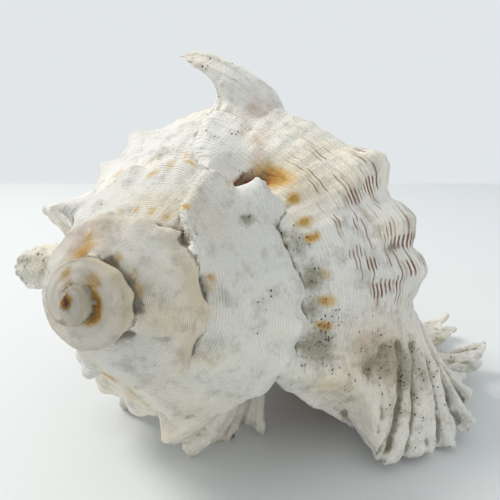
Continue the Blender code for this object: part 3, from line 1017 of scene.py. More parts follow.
@dataclass(frozen=True)
class Relief:
    """Relief that the whorls and varices carry: cords, growth wrinkles, pleats, worn edges, unevenness, a
    groove at the sutures and a swell on the early whorls.

    Depths are in metres at the lip's size, and shrink with the shell towards the apex.
    """

    cord_places: tuple[float, ...] = (0.20, 0.265, 0.33, 0.395, 0.46, 0.535, 0.615, 0.70, 0.79, 0.88)
    cord_height: float = 0.00045
    wrinkle_height: float = 0.00022
    wear_height: float = 0.00046
    pleat_height: float = 0.00030
    pleat_count: float = 62.0
    suture_depth: float = 0.0006
    swell_height: float = 0.0006

    def height(self, marks: Marks, places: np.ndarray, growth: Growth) -> np.ndarray:
        """How far each point moves outwards.

        Args:
            marks: The points' growth marks.
            places: The points as they lie, in metres.
            growth: The shell's growth.

        Returns:
            The moves in metres.
        """
        size = growth.size_at(marks.turn)
        cords = sum(bump(marks.along, place, 0.016) for place in self.cord_places)
        on_wall = (marks.part < 0.5).astype(float)
        cords = cords * (0.35 + 0.65 * on_wall) * (1.0 - 0.7 * marks.front) * ramp(marks.along, 0.12, 0.24)
        wrinkles = np.sin(np.radians(marks.turn * 73.0) + 2.0 * np.sin(marks.along * 9.0))
        wrinkles = (wrinkles + np.sin(np.radians(marks.turn * 41.0) + 3.0 * marks.along)) * on_wall
        uneven = Ripple(3).at(places * 420.0) + 0.6 * Ripple(4).at(places * 900.0)
        chipped = Ripple(5).at(places * 1500.0) * marks.rim
        pleats = np.sin(2.0 * math.pi * marks.along * self.pleat_count)
        pleats = pleats * np.clip(marks.lift / 0.2, 0.0, 1.0)
        height = self.cord_height * cords + self.wrinkle_height * 0.5 * wrinkles
        height = height + self.pleat_height * pleats * (marks.part > 0.5)
        height = height * marks.grown + self.wear_height * 0.6 * chipped
        height = height + self.wear_height * 0.40 * uneven / np.sqrt(size)
        early = ramp(marks.turn, -420.0, -700.0) * on_wall
        height = height - self.suture_depth * bump(marks.along, 0.0, 0.022) * on_wall
        height = height + self.swell_height * early * bump(marks.along, 0.13, 0.06)
        return height * size * (1.0 - marks.inner)


class Tint(Enum):
    """Colour channels that the shell is painted with."""

    OCHRE = "ochre"
    # Rust; past strength 1.5 it paints the shadow of the deep hole black.
    RUST_AND_HOLE_SHADOW = "rust"
    DASH = "dash"
    LINE = "line"
    PINK = "pink"
    CREAM = "cream"
    # Dirt, and painted shade in hollows and on the lip's fan.
    GRIME_AND_SHADE = "grime_and_shade"
    # Dark pits; at full strength they paint the shadow of the deep hole.
    SPECKS_AND_HOLE_SHADOW = "specks"


@dataclass(frozen=True)
class Stain:
    """A patch of one tint, at a growth angle and a place along the wall."""

    tint: Tint
    turn: float
    along: float
    spread: float
    reach: float
    strength: float = 1.0
    side: float = 0.0


STAINS: tuple[Stain, ...] = (
    # Painted shadow: specks and rust at full strength blacken the deep hole by the crest.
    Stain(Tint.SPECKS_AND_HOLE_SHADOW, -106.0, 0.045, 3.0, 0.030, 3.0),
    Stain(Tint.RUST_AND_HOLE_SHADOW, -100.0, 0.080, 5.0, 0.022, 1.4),
    Stain(Tint.OCHRE, -96.0, 0.100, 9.0, 0.025, 1.2),
    Stain(Tint.OCHRE, -83.0, 0.083, 3.0, 0.018, 1.1),
    Stain(Tint.OCHRE, -73.0, 0.074, 2.6, 0.017, 1.1),
    Stain(Tint.OCHRE, -66.0, 0.071, 2.4, 0.020, 1.0),
    Stain(Tint.OCHRE, -51.0, 0.072, 3.0, 0.018, 0.6),
    Stain(Tint.OCHRE, -41.0, 0.072, 2.6, 0.024, 1.0),
    Stain(Tint.OCHRE, -31.0, 0.073, 2.2, 0.020, 1.2),
    Stain(Tint.OCHRE, -501.0, 0.058, 3.0, 0.020, 0.7),
    Stain(Tint.OCHRE, -491.0, 0.072, 3.0, 0.018, 0.8),
    Stain(Tint.OCHRE, -480.0, 0.067, 3.0, 0.024, 1.1),
    Stain(Tint.OCHRE, -469.0, 0.067, 3.6, 0.022, 0.8),
    Stain(Tint.OCHRE, -458.0, 0.084, 2.6, 0.016, 0.9),
    Stain(Tint.OCHRE, -495.0, 0.225, 4.0, 0.025, 0.8),
    Stain(Tint.OCHRE, -487.0, 0.255, 3.0, 0.025, 0.7),
    Stain(Tint.OCHRE, -480.0, 0.280, 4.0, 0.020, 0.8),
    Stain(Tint.OCHRE, -417.0, 0.050, 4.0, 0.018, 0.9),
    Stain(Tint.OCHRE, -411.0, 0.045, 3.0, 0.016, 0.8),
    Stain(Tint.RUST_AND_HOLE_SHADOW, -399.0, 0.024, 3.0, 0.014, 1.0),
    Stain(Tint.OCHRE, -665.0, 0.230, 9.0, 0.030, 0.9),
    Stain(Tint.OCHRE, -300.0, 0.160, 7.0, 0.040, 0.5),
    Stain(Tint.RUST_AND_HOLE_SHADOW, -366.0, 0.300, 5.0, 0.030, 0.5),
    Stain(Tint.OCHRE, -169.0, 0.107, 4.0, 0.030, 0.6),
    Stain(Tint.OCHRE, -150.0, 0.085, 3.0, 0.020, 0.5),
    Stain(Tint.OCHRE, -133.0, 0.075, 3.0, 0.020, 0.6),
    Stain(Tint.OCHRE, -864.0, 0.120, 9.0, 0.040, 0.8),
    Stain(Tint.PINK, -872.0, 0.080, 9.0, 0.030, 1.0),
    Stain(Tint.RUST_AND_HOLE_SHADOW, -817.0, 0.012, 6.0, 0.022, 1.2),
    Stain(Tint.OCHRE, -825.0, 0.060, 5.0, 0.030, 0.9),
    Stain(Tint.OCHRE, -796.0, 0.056, 4.0, 0.022, 0.9),
    Stain(Tint.OCHRE, -780.0, 0.060, 4.0, 0.020, 0.8),
    Stain(Tint.RUST_AND_HOLE_SHADOW, -766.0, 0.006, 7.0, 0.016, 1.1),
    Stain(Tint.RUST_AND_HOLE_SHADOW, -697.0, 0.010, 5.0, 0.020, 1.0),
    Stain(Tint.OCHRE, -1080.0, 0.040, 16.0, 0.050, 1.1),
    Stain(Tint.RUST_AND_HOLE_SHADOW, -1165.0, 0.040, 14.0, 0.050, 0.8),
    Stain(Tint.OCHRE, -1170.0, 0.110, 20.0, 0.060, 1.0),
    Stain(Tint.OCHRE, -1235.0, 0.120, 18.0, 0.060, 1.1),
    # Rust that runs past 1.5 and turns black: painted shadow in the deep hole.
    Stain(Tint.RUST_AND_HOLE_SHADOW, -102.0, 0.055, 3.6, 0.030, 2.6),
    Stain(Tint.LINE, -72.0, 0.150, 24.0, 0.035, 1.0),
    Stain(Tint.LINE, -72.0, 0.205, 26.0, 0.035, 1.0),
    Stain(Tint.LINE, -84.0, 0.262, 6.0, 0.035, 1.6),
    Stain(Tint.LINE, -50.0, 0.210, 12.0, 0.060, 1.1),
    Stain(Tint.LINE, -62.0, 0.280, 8.0, 0.030, 0.9),
    Stain(Tint.DASH, -75.0, 0.190, 2.6, 0.022, 1.0),
    Stain(Tint.DASH, -76.5, 0.238, 2.4, 0.022, 1.0),
    Stain(Tint.DASH, -58.5, 0.262, 2.0, 0.040, 1.1),
    Stain(Tint.DASH, -53.0, 0.172, 2.2, 0.014, 1.1),
    Stain(Tint.DASH, -51.0, 0.245, 2.4, 0.016, 0.9),
    Stain(Tint.DASH, -52.5, 0.285, 1.8, 0.018, 1.0),
    Stain(Tint.DASH, -44.5, 0.178, 2.2, 0.016, 1.2),
    Stain(Tint.DASH, -46.0, 0.210, 2.0, 0.016, 0.9),
    Stain(Tint.RUST_AND_HOLE_SHADOW, -27.0, 0.205, 2.2, 0.012, 0.5),
    Stain(Tint.GRIME_AND_SHADE, -64.0, 0.042, 9.0, 0.018, 0.7),
    Stain(Tint.GRIME_AND_SHADE, -50.0, 0.050, 9.0, 0.026, 0.8),
    Stain(Tint.GRIME_AND_SHADE, -38.0, 0.050, 7.0, 0.024, 0.7),
    Stain(Tint.GRIME_AND_SHADE, -23.0, 0.070, 8.0, 0.036, 1.1),
    Stain(Tint.SPECKS_AND_HOLE_SHADOW, -58.0, 0.045, 14.0, 0.024, 0.9),
    Stain(Tint.SPECKS_AND_HOLE_SHADOW, -24.0, 0.070, 12.0, 0.036, 1.3),
    # Grey on the lip's fan: painted shade and dirt.
    Stain(Tint.GRIME_AND_SHADE, -24.0, 0.230, 8.0, 0.080, 0.8),
    Stain(Tint.SPECKS_AND_HOLE_SHADOW, -22.0, 0.260, 12.0, 0.140, 0.8),
    Stain(Tint.SPECKS_AND_HOLE_SHADOW, -443.0, 0.030, 7.0, 0.022, 1.4),
    Stain(Tint.GRIME_AND_SHADE, -446.0, 0.028, 9.0, 0.020, 0.6),
    Stain(Tint.SPECKS_AND_HOLE_SHADOW, -417.0, 0.020, 7.0, 0.012, 0.8),
    Stain(Tint.GRIME_AND_SHADE, -441.0, 0.220, 3.0, 0.030, 1.0),
    Stain(Tint.SPECKS_AND_HOLE_SHADOW, -441.0, 0.220, 4.0, 0.040, 1.0),
    Stain(Tint.SPECKS_AND_HOLE_SHADOW, -530.0, 0.130, 5.0, 0.020, 1.3),
    Stain(Tint.SPECKS_AND_HOLE_SHADOW, -385.0, 0.330, 8.0, 0.040, 1.0),
    Stain(Tint.SPECKS_AND_HOLE_SHADOW, -390.0, 0.200, 14.0, 0.060, 0.5),
    Stain(Tint.SPECKS_AND_HOLE_SHADOW, -122.0, 0.110, 6.0, 0.040, 0.7),
    Stain(Tint.GRIME_AND_SHADE, -145.0, 0.090, 12.0, 0.030, 0.6),
    Stain(Tint.SPECKS_AND_HOLE_SHADOW, -132.0, 0.245, 6.0, 0.020, 0.8),
    Stain(Tint.PINK, -118.0, 0.225, 3.5, 0.030, 1.0),
    Stain(Tint.PINK, -111.0, 0.160, 2.6, 0.040, 1.0),
    Stain(Tint.PINK, -107.0, 0.110, 2.4, 0.020, 0.8),
    Stain(Tint.PINK, -27.0, 0.190, 5.0, 0.050, 0.7),
    Stain(Tint.CREAM, -475.0, 0.100, 22.0, 0.060, 0.7),
    Stain(Tint.CREAM, -445.0, 0.120, 12.0, 0.060, 0.5),
    Stain(Tint.CREAM, -92.0, 0.080, 12.0, 0.060, 0.8),
    Stain(Tint.CREAM, -750.0, 0.120, 20.0, 0.100, 0.7),
    Stain(Tint.CREAM, -10.0, 0.140, 9.0, 0.080, 0.6),
    Stain(Tint.CREAM, -25.0, 0.200, 12.0, 0.090, 0.8),
    Stain(Tint.CREAM, -330.0, 0.300, 22.0, 0.300, 0.4),
    Stain(Tint.OCHRE, -1110.0, 0.035, 60.0, 0.050, 2.0),
    Stain(Tint.RUST_AND_HOLE_SHADOW, -1110.0, 0.0, 60.0, 0.030, 1.3),
    Stain(Tint.OCHRE, -870.0, 0.070, 26.0, 0.060, 0.9),
    Stain(Tint.PINK, -870.0, 0.130, 26.0, 0.080, 0.9),
    Stain(Tint.RUST_AND_HOLE_SHADOW, -870.0, 0.020, 26.0, 0.030, 0.7),
)


@dataclass(frozen=True)
class Paint:
    """Paints the tint channels of the shell from its growth marks, and painted shade in its hollows from
    how concave the surface is.
    """

    stains: tuple[Stain, ...] = STAINS
    seed: int = 11
    unseen_spots: tuple[float, float, float] = (-360.0, -175.0, 11.0)
    spots_along: float = 0.072
    spot_spread: float = 3.2
    spot_reach: float = 0.018
    spire_turns: tuple[float, float] = (-640.0, -760.0)
    patch_waves: Table = ((7.3, 0.6), (3.1, 0.5))
    seam_reach: float = 0.014
    fan_turns: tuple[float, float] = (-40.0, -26.0)
    fan_along: tuple[float, float] = (0.15, 0.20)
    blade_turn: float = -226.0
    blade_spread: float = 9.0
    blade_lift: tuple[float, float] = (0.12, 0.25)

    def channels(self, marks: Marks, hollow: np.ndarray) -> dict[str, np.ndarray]:
        """Strength of each tint at each point.

        Args:
            marks: The points' growth marks.
            hollow: How concave the surface is at each point, from -1 to 1.

        Returns:
            One array for each tint, by its name.
        """
        made = {tint.value: np.zeros(len(marks.turn)) for tint in Tint}

        def add(tint: Tint, strength: np.ndarray) -> None:
            """Raise a tint where it is weaker than this."""
            made[tint.value] = np.maximum(made[tint.value], strength)

        for stain in self.stains:
            mask = bump(marks.turn, stain.turn, stain.spread) * bump(marks.along, stain.along, stain.reach)
            if stain.side > 0.0:
                mask = mask * marks.front
            elif stain.side < 0.0:
                mask = mask * (marks.side < 0.0)
            add(stain.tint, stain.strength * mask * marks.grown)
        on_wall = marks.part < 0.5
        rng = np.random.default_rng(self.seed)
        for turn in np.arange(*self.unseen_spots):
            jitter = rng.uniform(-3.0, 3.0)
            strength = rng.uniform(0.1, 0.9)
            along = self.spots_along + rng.uniform(-0.008, 0.012)
            spot = bump(marks.turn, turn + jitter, self.spot_spread)
            spot = spot * bump(marks.along, along, self.spot_reach)
            add(Tint.OCHRE, strength * spot * on_wall)
        early = ramp(marks.turn, *self.spire_turns) * marks.grown
        waves = sum(share * np.sin(np.radians(marks.turn * wave)) for wave, share in self.patch_waves)
        patchy = np.clip(0.5 + waves, 0.0, 1.0)
        add(Tint.OCHRE, 0.70 * early * patchy * bump(marks.along, 0.030, 0.030))
        add(Tint.RUST_AND_HOLE_SHADOW, 0.75 * early * bump(marks.along, 0.0, 0.016))
        add(Tint.CREAM, 0.6 * early * bump(marks.along, 0.26, 0.06))
        add(Tint.GRIME_AND_SHADE, 0.8 * bump(marks.along, 0.0, self.seam_reach) * on_wall)
        # Back of the lip's fan: a little dirt all over, and painted shade that grows in its hollows.
        fan = ramp(marks.turn, *self.fan_turns) * (1.0 - marks.front) * ramp(marks.along, *self.fan_along)
        add(Tint.GRIME_AND_SHADE, fan * (0.18 + 0.82 * np.clip(1.5 * hollow, 0.0, 1.0)))
        add(Tint.SPECKS_AND_HOLE_SHADOW, 0.25 * fan)
        blade = marks.grown * (marks.part > 0.5) * ramp(marks.lift, *self.blade_lift)
        blade = blade * bump(marks.turn, self.blade_turn, self.blade_spread)
        add(Tint.GRIME_AND_SHADE, 0.55 * blade)
        add(Tint.SPECKS_AND_HOLE_SHADOW, 0.5 * blade)
        # Painted shade: the grime channel rises in every hollow by how concave it is.
        add(Tint.GRIME_AND_SHADE, 0.5 * np.clip(hollow, 0.0, 1.0))
        return made


class Value:
    """A number that varies over a surface: a socket with Python's arithmetic."""

    def __init__(self, maker: "NodeMaker", socket: bpy.types.NodeSocket) -> None:
        """Wrap a socket.

        Args:
            maker: What adds nodes to the same tree.
            socket: The socket that gives the number.
        """
        self.maker = maker
        self.socket = socket

    def _with(self, operation: str, *others: "Value | float", clamp: bool = False) -> "Value":
        """Math node on this value and others."""
        inputs = {i: other for i, other in enumerate((self, *others))}
        node = self.maker.node("ShaderNodeMath", {"operation": operation, "use_clamp": clamp}, inputs)
        return Value(self.maker, node.outputs[0])

    def __add__(self, other: "Value | float") -> "Value":
        """Sum."""
        return self._with("ADD", other)

    __radd__ = __add__

    def __sub__(self, other: "Value | float") -> "Value":
        """Difference."""
        return self._with("SUBTRACT", other)

    def __rsub__(self, other: float) -> "Value":
        """Difference, the other way round."""
        return self * -1.0 + other

    def __mul__(self, other: "Value | float") -> "Value":
        """Product."""
        return self._with("MULTIPLY", other)

    __rmul__ = __mul__

    def clamped(self) -> "Value":
        """The value held between 0 and 1."""
        return self._with("ADD", 0.0, clamp=True)

    def larger(self, other: "Value | float") -> "Value":
        """The larger of the two."""
        return self._with("MAXIMUM", other)

    def sine(self) -> "Value":
        """Sine of the value."""
        return self._with("SINE")

    def floor(self) -> "Value":
        """Whole number below the value."""
        return self._with("FLOOR")

    def step(self, low: float, high: float) -> "Value":
        """Smooth step from 0 at low to 1 at high, or down where low is the larger."""
        ends = {"Value": self, "From Min": low, "From Max": high}
        node = self.maker.node("ShaderNodeMapRange", {"interpolation_type": "SMOOTHSTEP"}, ends)
        return Value(self.maker, node.outputs["Result"])


@dataclass
class NodeMaker:
    """Adds nodes to one material's tree."""

    tree: bpy.types.NodeTree

    def node(
        self, kind: str, settings: dict[str, Any] | None = None, inputs: dict[Any, Any] | None = None
    ) -> Any:
        """Add a node.

        Args:
            kind: The node's type.
            settings: Properties of the node, set first.
            inputs: Values or links of its sockets, by name or number.

        Returns:
            The node.
        """
        made = self.tree.nodes.new(kind)
        for name, value in (settings or {}).items():
            setattr(made, name, value)
        for key, value in (inputs or {}).items():
            socket = made.inputs[key]
            if isinstance(value, Value):
                self.tree.links.new(value.socket, socket)
            elif isinstance(value, bpy.types.NodeSocket):
                self.tree.links.new(value, socket)
            else:
                socket.default_value = value
        return made

    def attribute(self, name: str) -> Value:
        """Number that a mesh attribute gives."""
        return Value(self, self.node("ShaderNodeAttribute", {"attribute_name": name}).outputs["Fac"])

    def vector(self, x: Value | float, y: Value | float, z: Value | float = 0.0) -> bpy.types.NodeSocket:
        """Vector from three numbers."""
        return self.node("ShaderNodeCombineXYZ", None, {"X": x, "Y": y, "Z": z}).outputs[0]

    def noise(
        self, place: bpy.types.NodeSocket, scale: float, detail: float = 2.0, rough: float = 0.5
    ) -> Value:
        """Noise from 0 to 1.

        Args:
            place: Where it is read.
            scale: How many features there are in one unit.
            detail: How many finer layers it has.
            rough: How strong the finer layers are.

        Returns:
            The noise.
        """
        inputs = {"Vector": place, "Scale": scale, "Detail": detail, "Roughness": rough}
        return Value(self, self.node("ShaderNodeTexNoise", None, inputs).outputs["Fac"])

    def dots(self, place: bpy.types.NodeSocket, scale: float, size: float, crowd: Value) -> Value:
        """Round dots, scattered unevenly.

        Args:
            place: Where they are read.
            scale: How many cells there are in one unit.
            size: A dot's radius, as a share of its cell.
            crowd: The share of cells that hold a dot.

        Returns:
            1 in a dot and 0 outside.
        """
        inputs = {"Vector": place, "Scale": scale, "Randomness": 1.0}
        cells = self.node("ShaderNodeTexVoronoi", None, inputs)
        split = self.node("ShaderNodeSeparateColor", None, {0: cells.outputs["Color"]})
        chance = Value(self, split.outputs[0])
        dot = Value(self, cells.outputs["Distance"]).step(size * 1.25, size * 0.75)
        return dot * (crowd - chance).step(0.0, 0.02)

    def colour(self, rgb: Colour) -> tuple[float, float, float, float]:
        """Colour with its alpha."""
        return (*rgb, 1.0)

    def mix(self, share: Value, under: Any, over: Any) -> bpy.types.NodeSocket:
        """Colour between two others.

        Args:
            share: How much of the second shows.
            under: The first colour, as a socket or three numbers.
            over: The second one.

        Returns:
            The mixed colour.
        """
        inputs = {"Factor": share.clamped()}
        made = self.node("ShaderNodeMix", {"data_type": "RGBA"}, None)
        self.tree.links.new(inputs["Factor"].socket, made.inputs[0])
        for index, value in ((6, under), (7, over)):
            if isinstance(value, bpy.types.NodeSocket):
                self.tree.links.new(value, made.inputs[index])
            else:
                made.inputs[index].default_value = self.colour(value)
        return made.outputs[2]


@dataclass(frozen=True)
class WornShell:
    """Finish of the shell: chalky white with spiral threads, stains, dirt and pits, painted shade in
    hollows and creases, and painted shadow in one deep hole.
    """

    chalk: Colour = (0.86, 0.83, 0.75)
    cool: Colour = (0.73, 0.72, 0.68)
    shade: Colour = (0.42, 0.40, 0.33)
    cream: Colour = (0.74, 0.62, 0.42)
    tan: Colour = (0.42, 0.31, 0.19)
    ochre: Colour = (0.60, 0.35, 0.06)
    amber: Colour = (0.36, 0.15, 0.02)
    rust: Colour = (0.20, 0.055, 0.012)
    brown: Colour = (0.19, 0.075, 0.03)
    pink: Colour = (0.58, 0.38, 0.30)
    # Colour of dirt, and of painted shade in hollows.
    grime_and_shade: Colour = (0.32, 0.30, 0.22)
    # Dark soil, also painted shade in hollows.
    soil_and_shade: Colour = (0.14, 0.12, 0.08)
    # Painted shade in creases.
    crease_shade_colour: Colour = (0.16, 0.10, 0.06)
    # Black of the pits, and painted shadow in the deep hole.
    speck_and_hole_shadow: Colour = (0.035, 0.035, 0.03)
    mouth: Colour = (0.72, 0.40, 0.22)
    threads: float = 260.0
    cords: float = 124.0
    bump_strength: float = 0.85
    bump_distance: float = 0.0006
    shine: float = 0.35

    def material(self) -> bpy.types.Material:
        """The material, for a mesh that carries the shell's attributes."""
        made = bpy.data.materials.new("worn_shell")
        made.use_nodes = True
        made.node_tree.nodes.clear()
        maker = NodeMaker(made.node_tree)
        attribute = maker.attribute
        turn, along, hollow, inner = (attribute(name) for name in ("turn", "along", "hollow", "inner"))
        place = maker.node("ShaderNodeTexCoord").outputs["Object"]

        wander = maker.noise(maker.vector(turn * 0.03, along * 5.0), 1.0, 1.0) - 0.5
        thread_place = along + wander * 0.004
        thread = (thread_place * (self.threads * 2 * math.pi)).sine() * 0.5 + 0.5
        cord_turns = thread_place * self.cords
        cord = (cord_turns * (2 * math.pi)).sine() * 0.5 + 0.5
        one_cord = maker.noise(maker.vector(turn * 0.10, cord_turns.floor() * 3.7), 1.0, 1.0)
        streak = maker.noise(maker.vector(turn * 0.09, along * 75.0), 1.0, 3.0, 0.6)
        growth_line = maker.noise(maker.vector(turn * 1.1, along * 5.0), 1.0, 3.0, 0.6)
        broad = maker.noise(place, 55.0, 3.0)
        mottle = maker.noise(place, 260.0, 4.0, 0.65)
        grit = maker.noise(place, 1100.0, 3.0, 0.7)
        grain = maker.noise(place, 2600.0, 2.0)
        dry = 1.0 - inner

        white = maker.mix(broad.step(0.40, 0.62) * 0.75, self.chalk, self.cool)
        white = maker.mix(attribute("cream") * 0.8 + broad.step(0.50, 0.36) * 0.35, white, self.cream)
        white = maker.mix(mottle.step(0.47, 0.70) * 0.50 * dry, white, self.shade)
        white = maker.mix(streak.step(0.56, 0.74) * mottle.step(0.35, 0.6) * 0.30 * dry, white, self.tan)
        thin_streaks = attribute("line").step(0.05, 0.8) * streak.step(0.50, 0.66)
        white = maker.mix(thin_streaks * 0.35, white, self.tan)
        white = maker.mix(grit.step(0.56, 0.70) * mottle.step(0.45, 0.62) * 0.35 * dry, white, self.tan)
        stained = maker.mix(attribute("pink") * 0.8 * mottle.step(0.2, 0.7), white, self.pink)
        ochre = attribute("ochre") * (streak * 0.8 + mottle * 0.8)
        stained = maker.mix(ochre.step(0.12, 0.75) * 0.90, stained, self.ochre)
        stained = maker.mix(ochre.step(0.55, 0.95) * 0.85, stained, self.amber)
        rust = attribute("rust") * (streak + mottle * 0.6)
        stained = maker.mix(rust.step(0.25, 0.80), stained, self.rust)
        line = attribute("line").step(0.15, 0.6) * one_cord.step(0.52, 0.60) * cord.step(0.50, 0.90)
        stained = maker.mix(line * 0.75, stained, self.brown)
        dash = attribute("dash").step(0.20, 0.6) * cord.step(0.30, 0.80) * one_cord.step(0.25, 0.45)
        stained = maker.mix(dash * 0.92, stained, self.brown)
        # Painted shadow: rust stronger than 1.5 turns black, which fills the deep hole by the crest with
        # shade.
        stained = maker.mix(attribute("rust").step(1.5, 2.1) * 0.95, stained, self.speck_and_hole_shadow)
        dirt_and_hollow_shade = attribute("grime_and_shade") * (mottle * 0.5 + grit * 0.5 + streak * 0.5)
        # Painted shade: hollows darken towards the grime colour, on top of the dirt.
        dirt_and_hollow_shade = dirt_and_hollow_shade + hollow.step(0.15, 0.9) * 0.25
        stained = maker.mix(dirt_and_hollow_shade.step(0.12, 0.65) * 0.88, stained, self.grime_and_shade)
        # Gritty dark soil where the grime channel is strong; through that channel it also darkens hollows
        # as painted shade.
        stained = maker.mix(attribute("grime_and_shade") * grit.step(0.52, 0.66) * 0.7, stained, self.soil_and_shade)
        # Painted shade in creases: the most concave places darken towards umber.
        crease_shade = hollow.step(0.35, 0.95) * mottle.step(0.30, 0.60)
        stained = maker.mix(crease_shade * 0.55 * dry, stained, self.crease_shade_colour)

        # Dark pits; where the specks channel runs past 1, as in the deep hole, they crowd into painted
        # shadow.
        crowd = attribute("specks") * mottle.step(0.48, 0.62) * 0.5 + 0.006
        wide_pits = maker.dots(place, 620.0, 0.16, crowd * 0.12 + 0.002)
        pits = maker.dots(place, 1700.0, 0.32, crowd).larger(wide_pits)
        stained = maker.mix(pits * 0.92, stained, self.speck_and_hole_shadow)
        skin = maker.mix(inner, stained, self.mouth)

        rough = (0.60 + mottle * 0.18 - attribute("rust") * 0.15) * dry + inner * 0.28
        relief = thread * 0.10 + cord * 0.22 + growth_line * 0.35
        relief = relief + mottle * 0.8 + grit * 0.45 + grain * 0.15
        relief = (relief - pits * 1.2) * (1.0 - inner * 0.85)
        bumps = {"Strength": self.bump_strength, "Distance": self.bump_distance, "Height": relief}
        bumped = maker.node("ShaderNodeBump", None, bumps)
        shader = maker.node(
            "ShaderNodeBsdfPrincipled",
            None,
            {
                "Base Color": skin,
                "Roughness": rough,
                "Normal": bumped.outputs[0],
                "Specular IOR Level": self.shine,
            },
        )
        maker.node("ShaderNodeOutputMaterial", None, {"Surface": shader.outputs[0]})
        return made


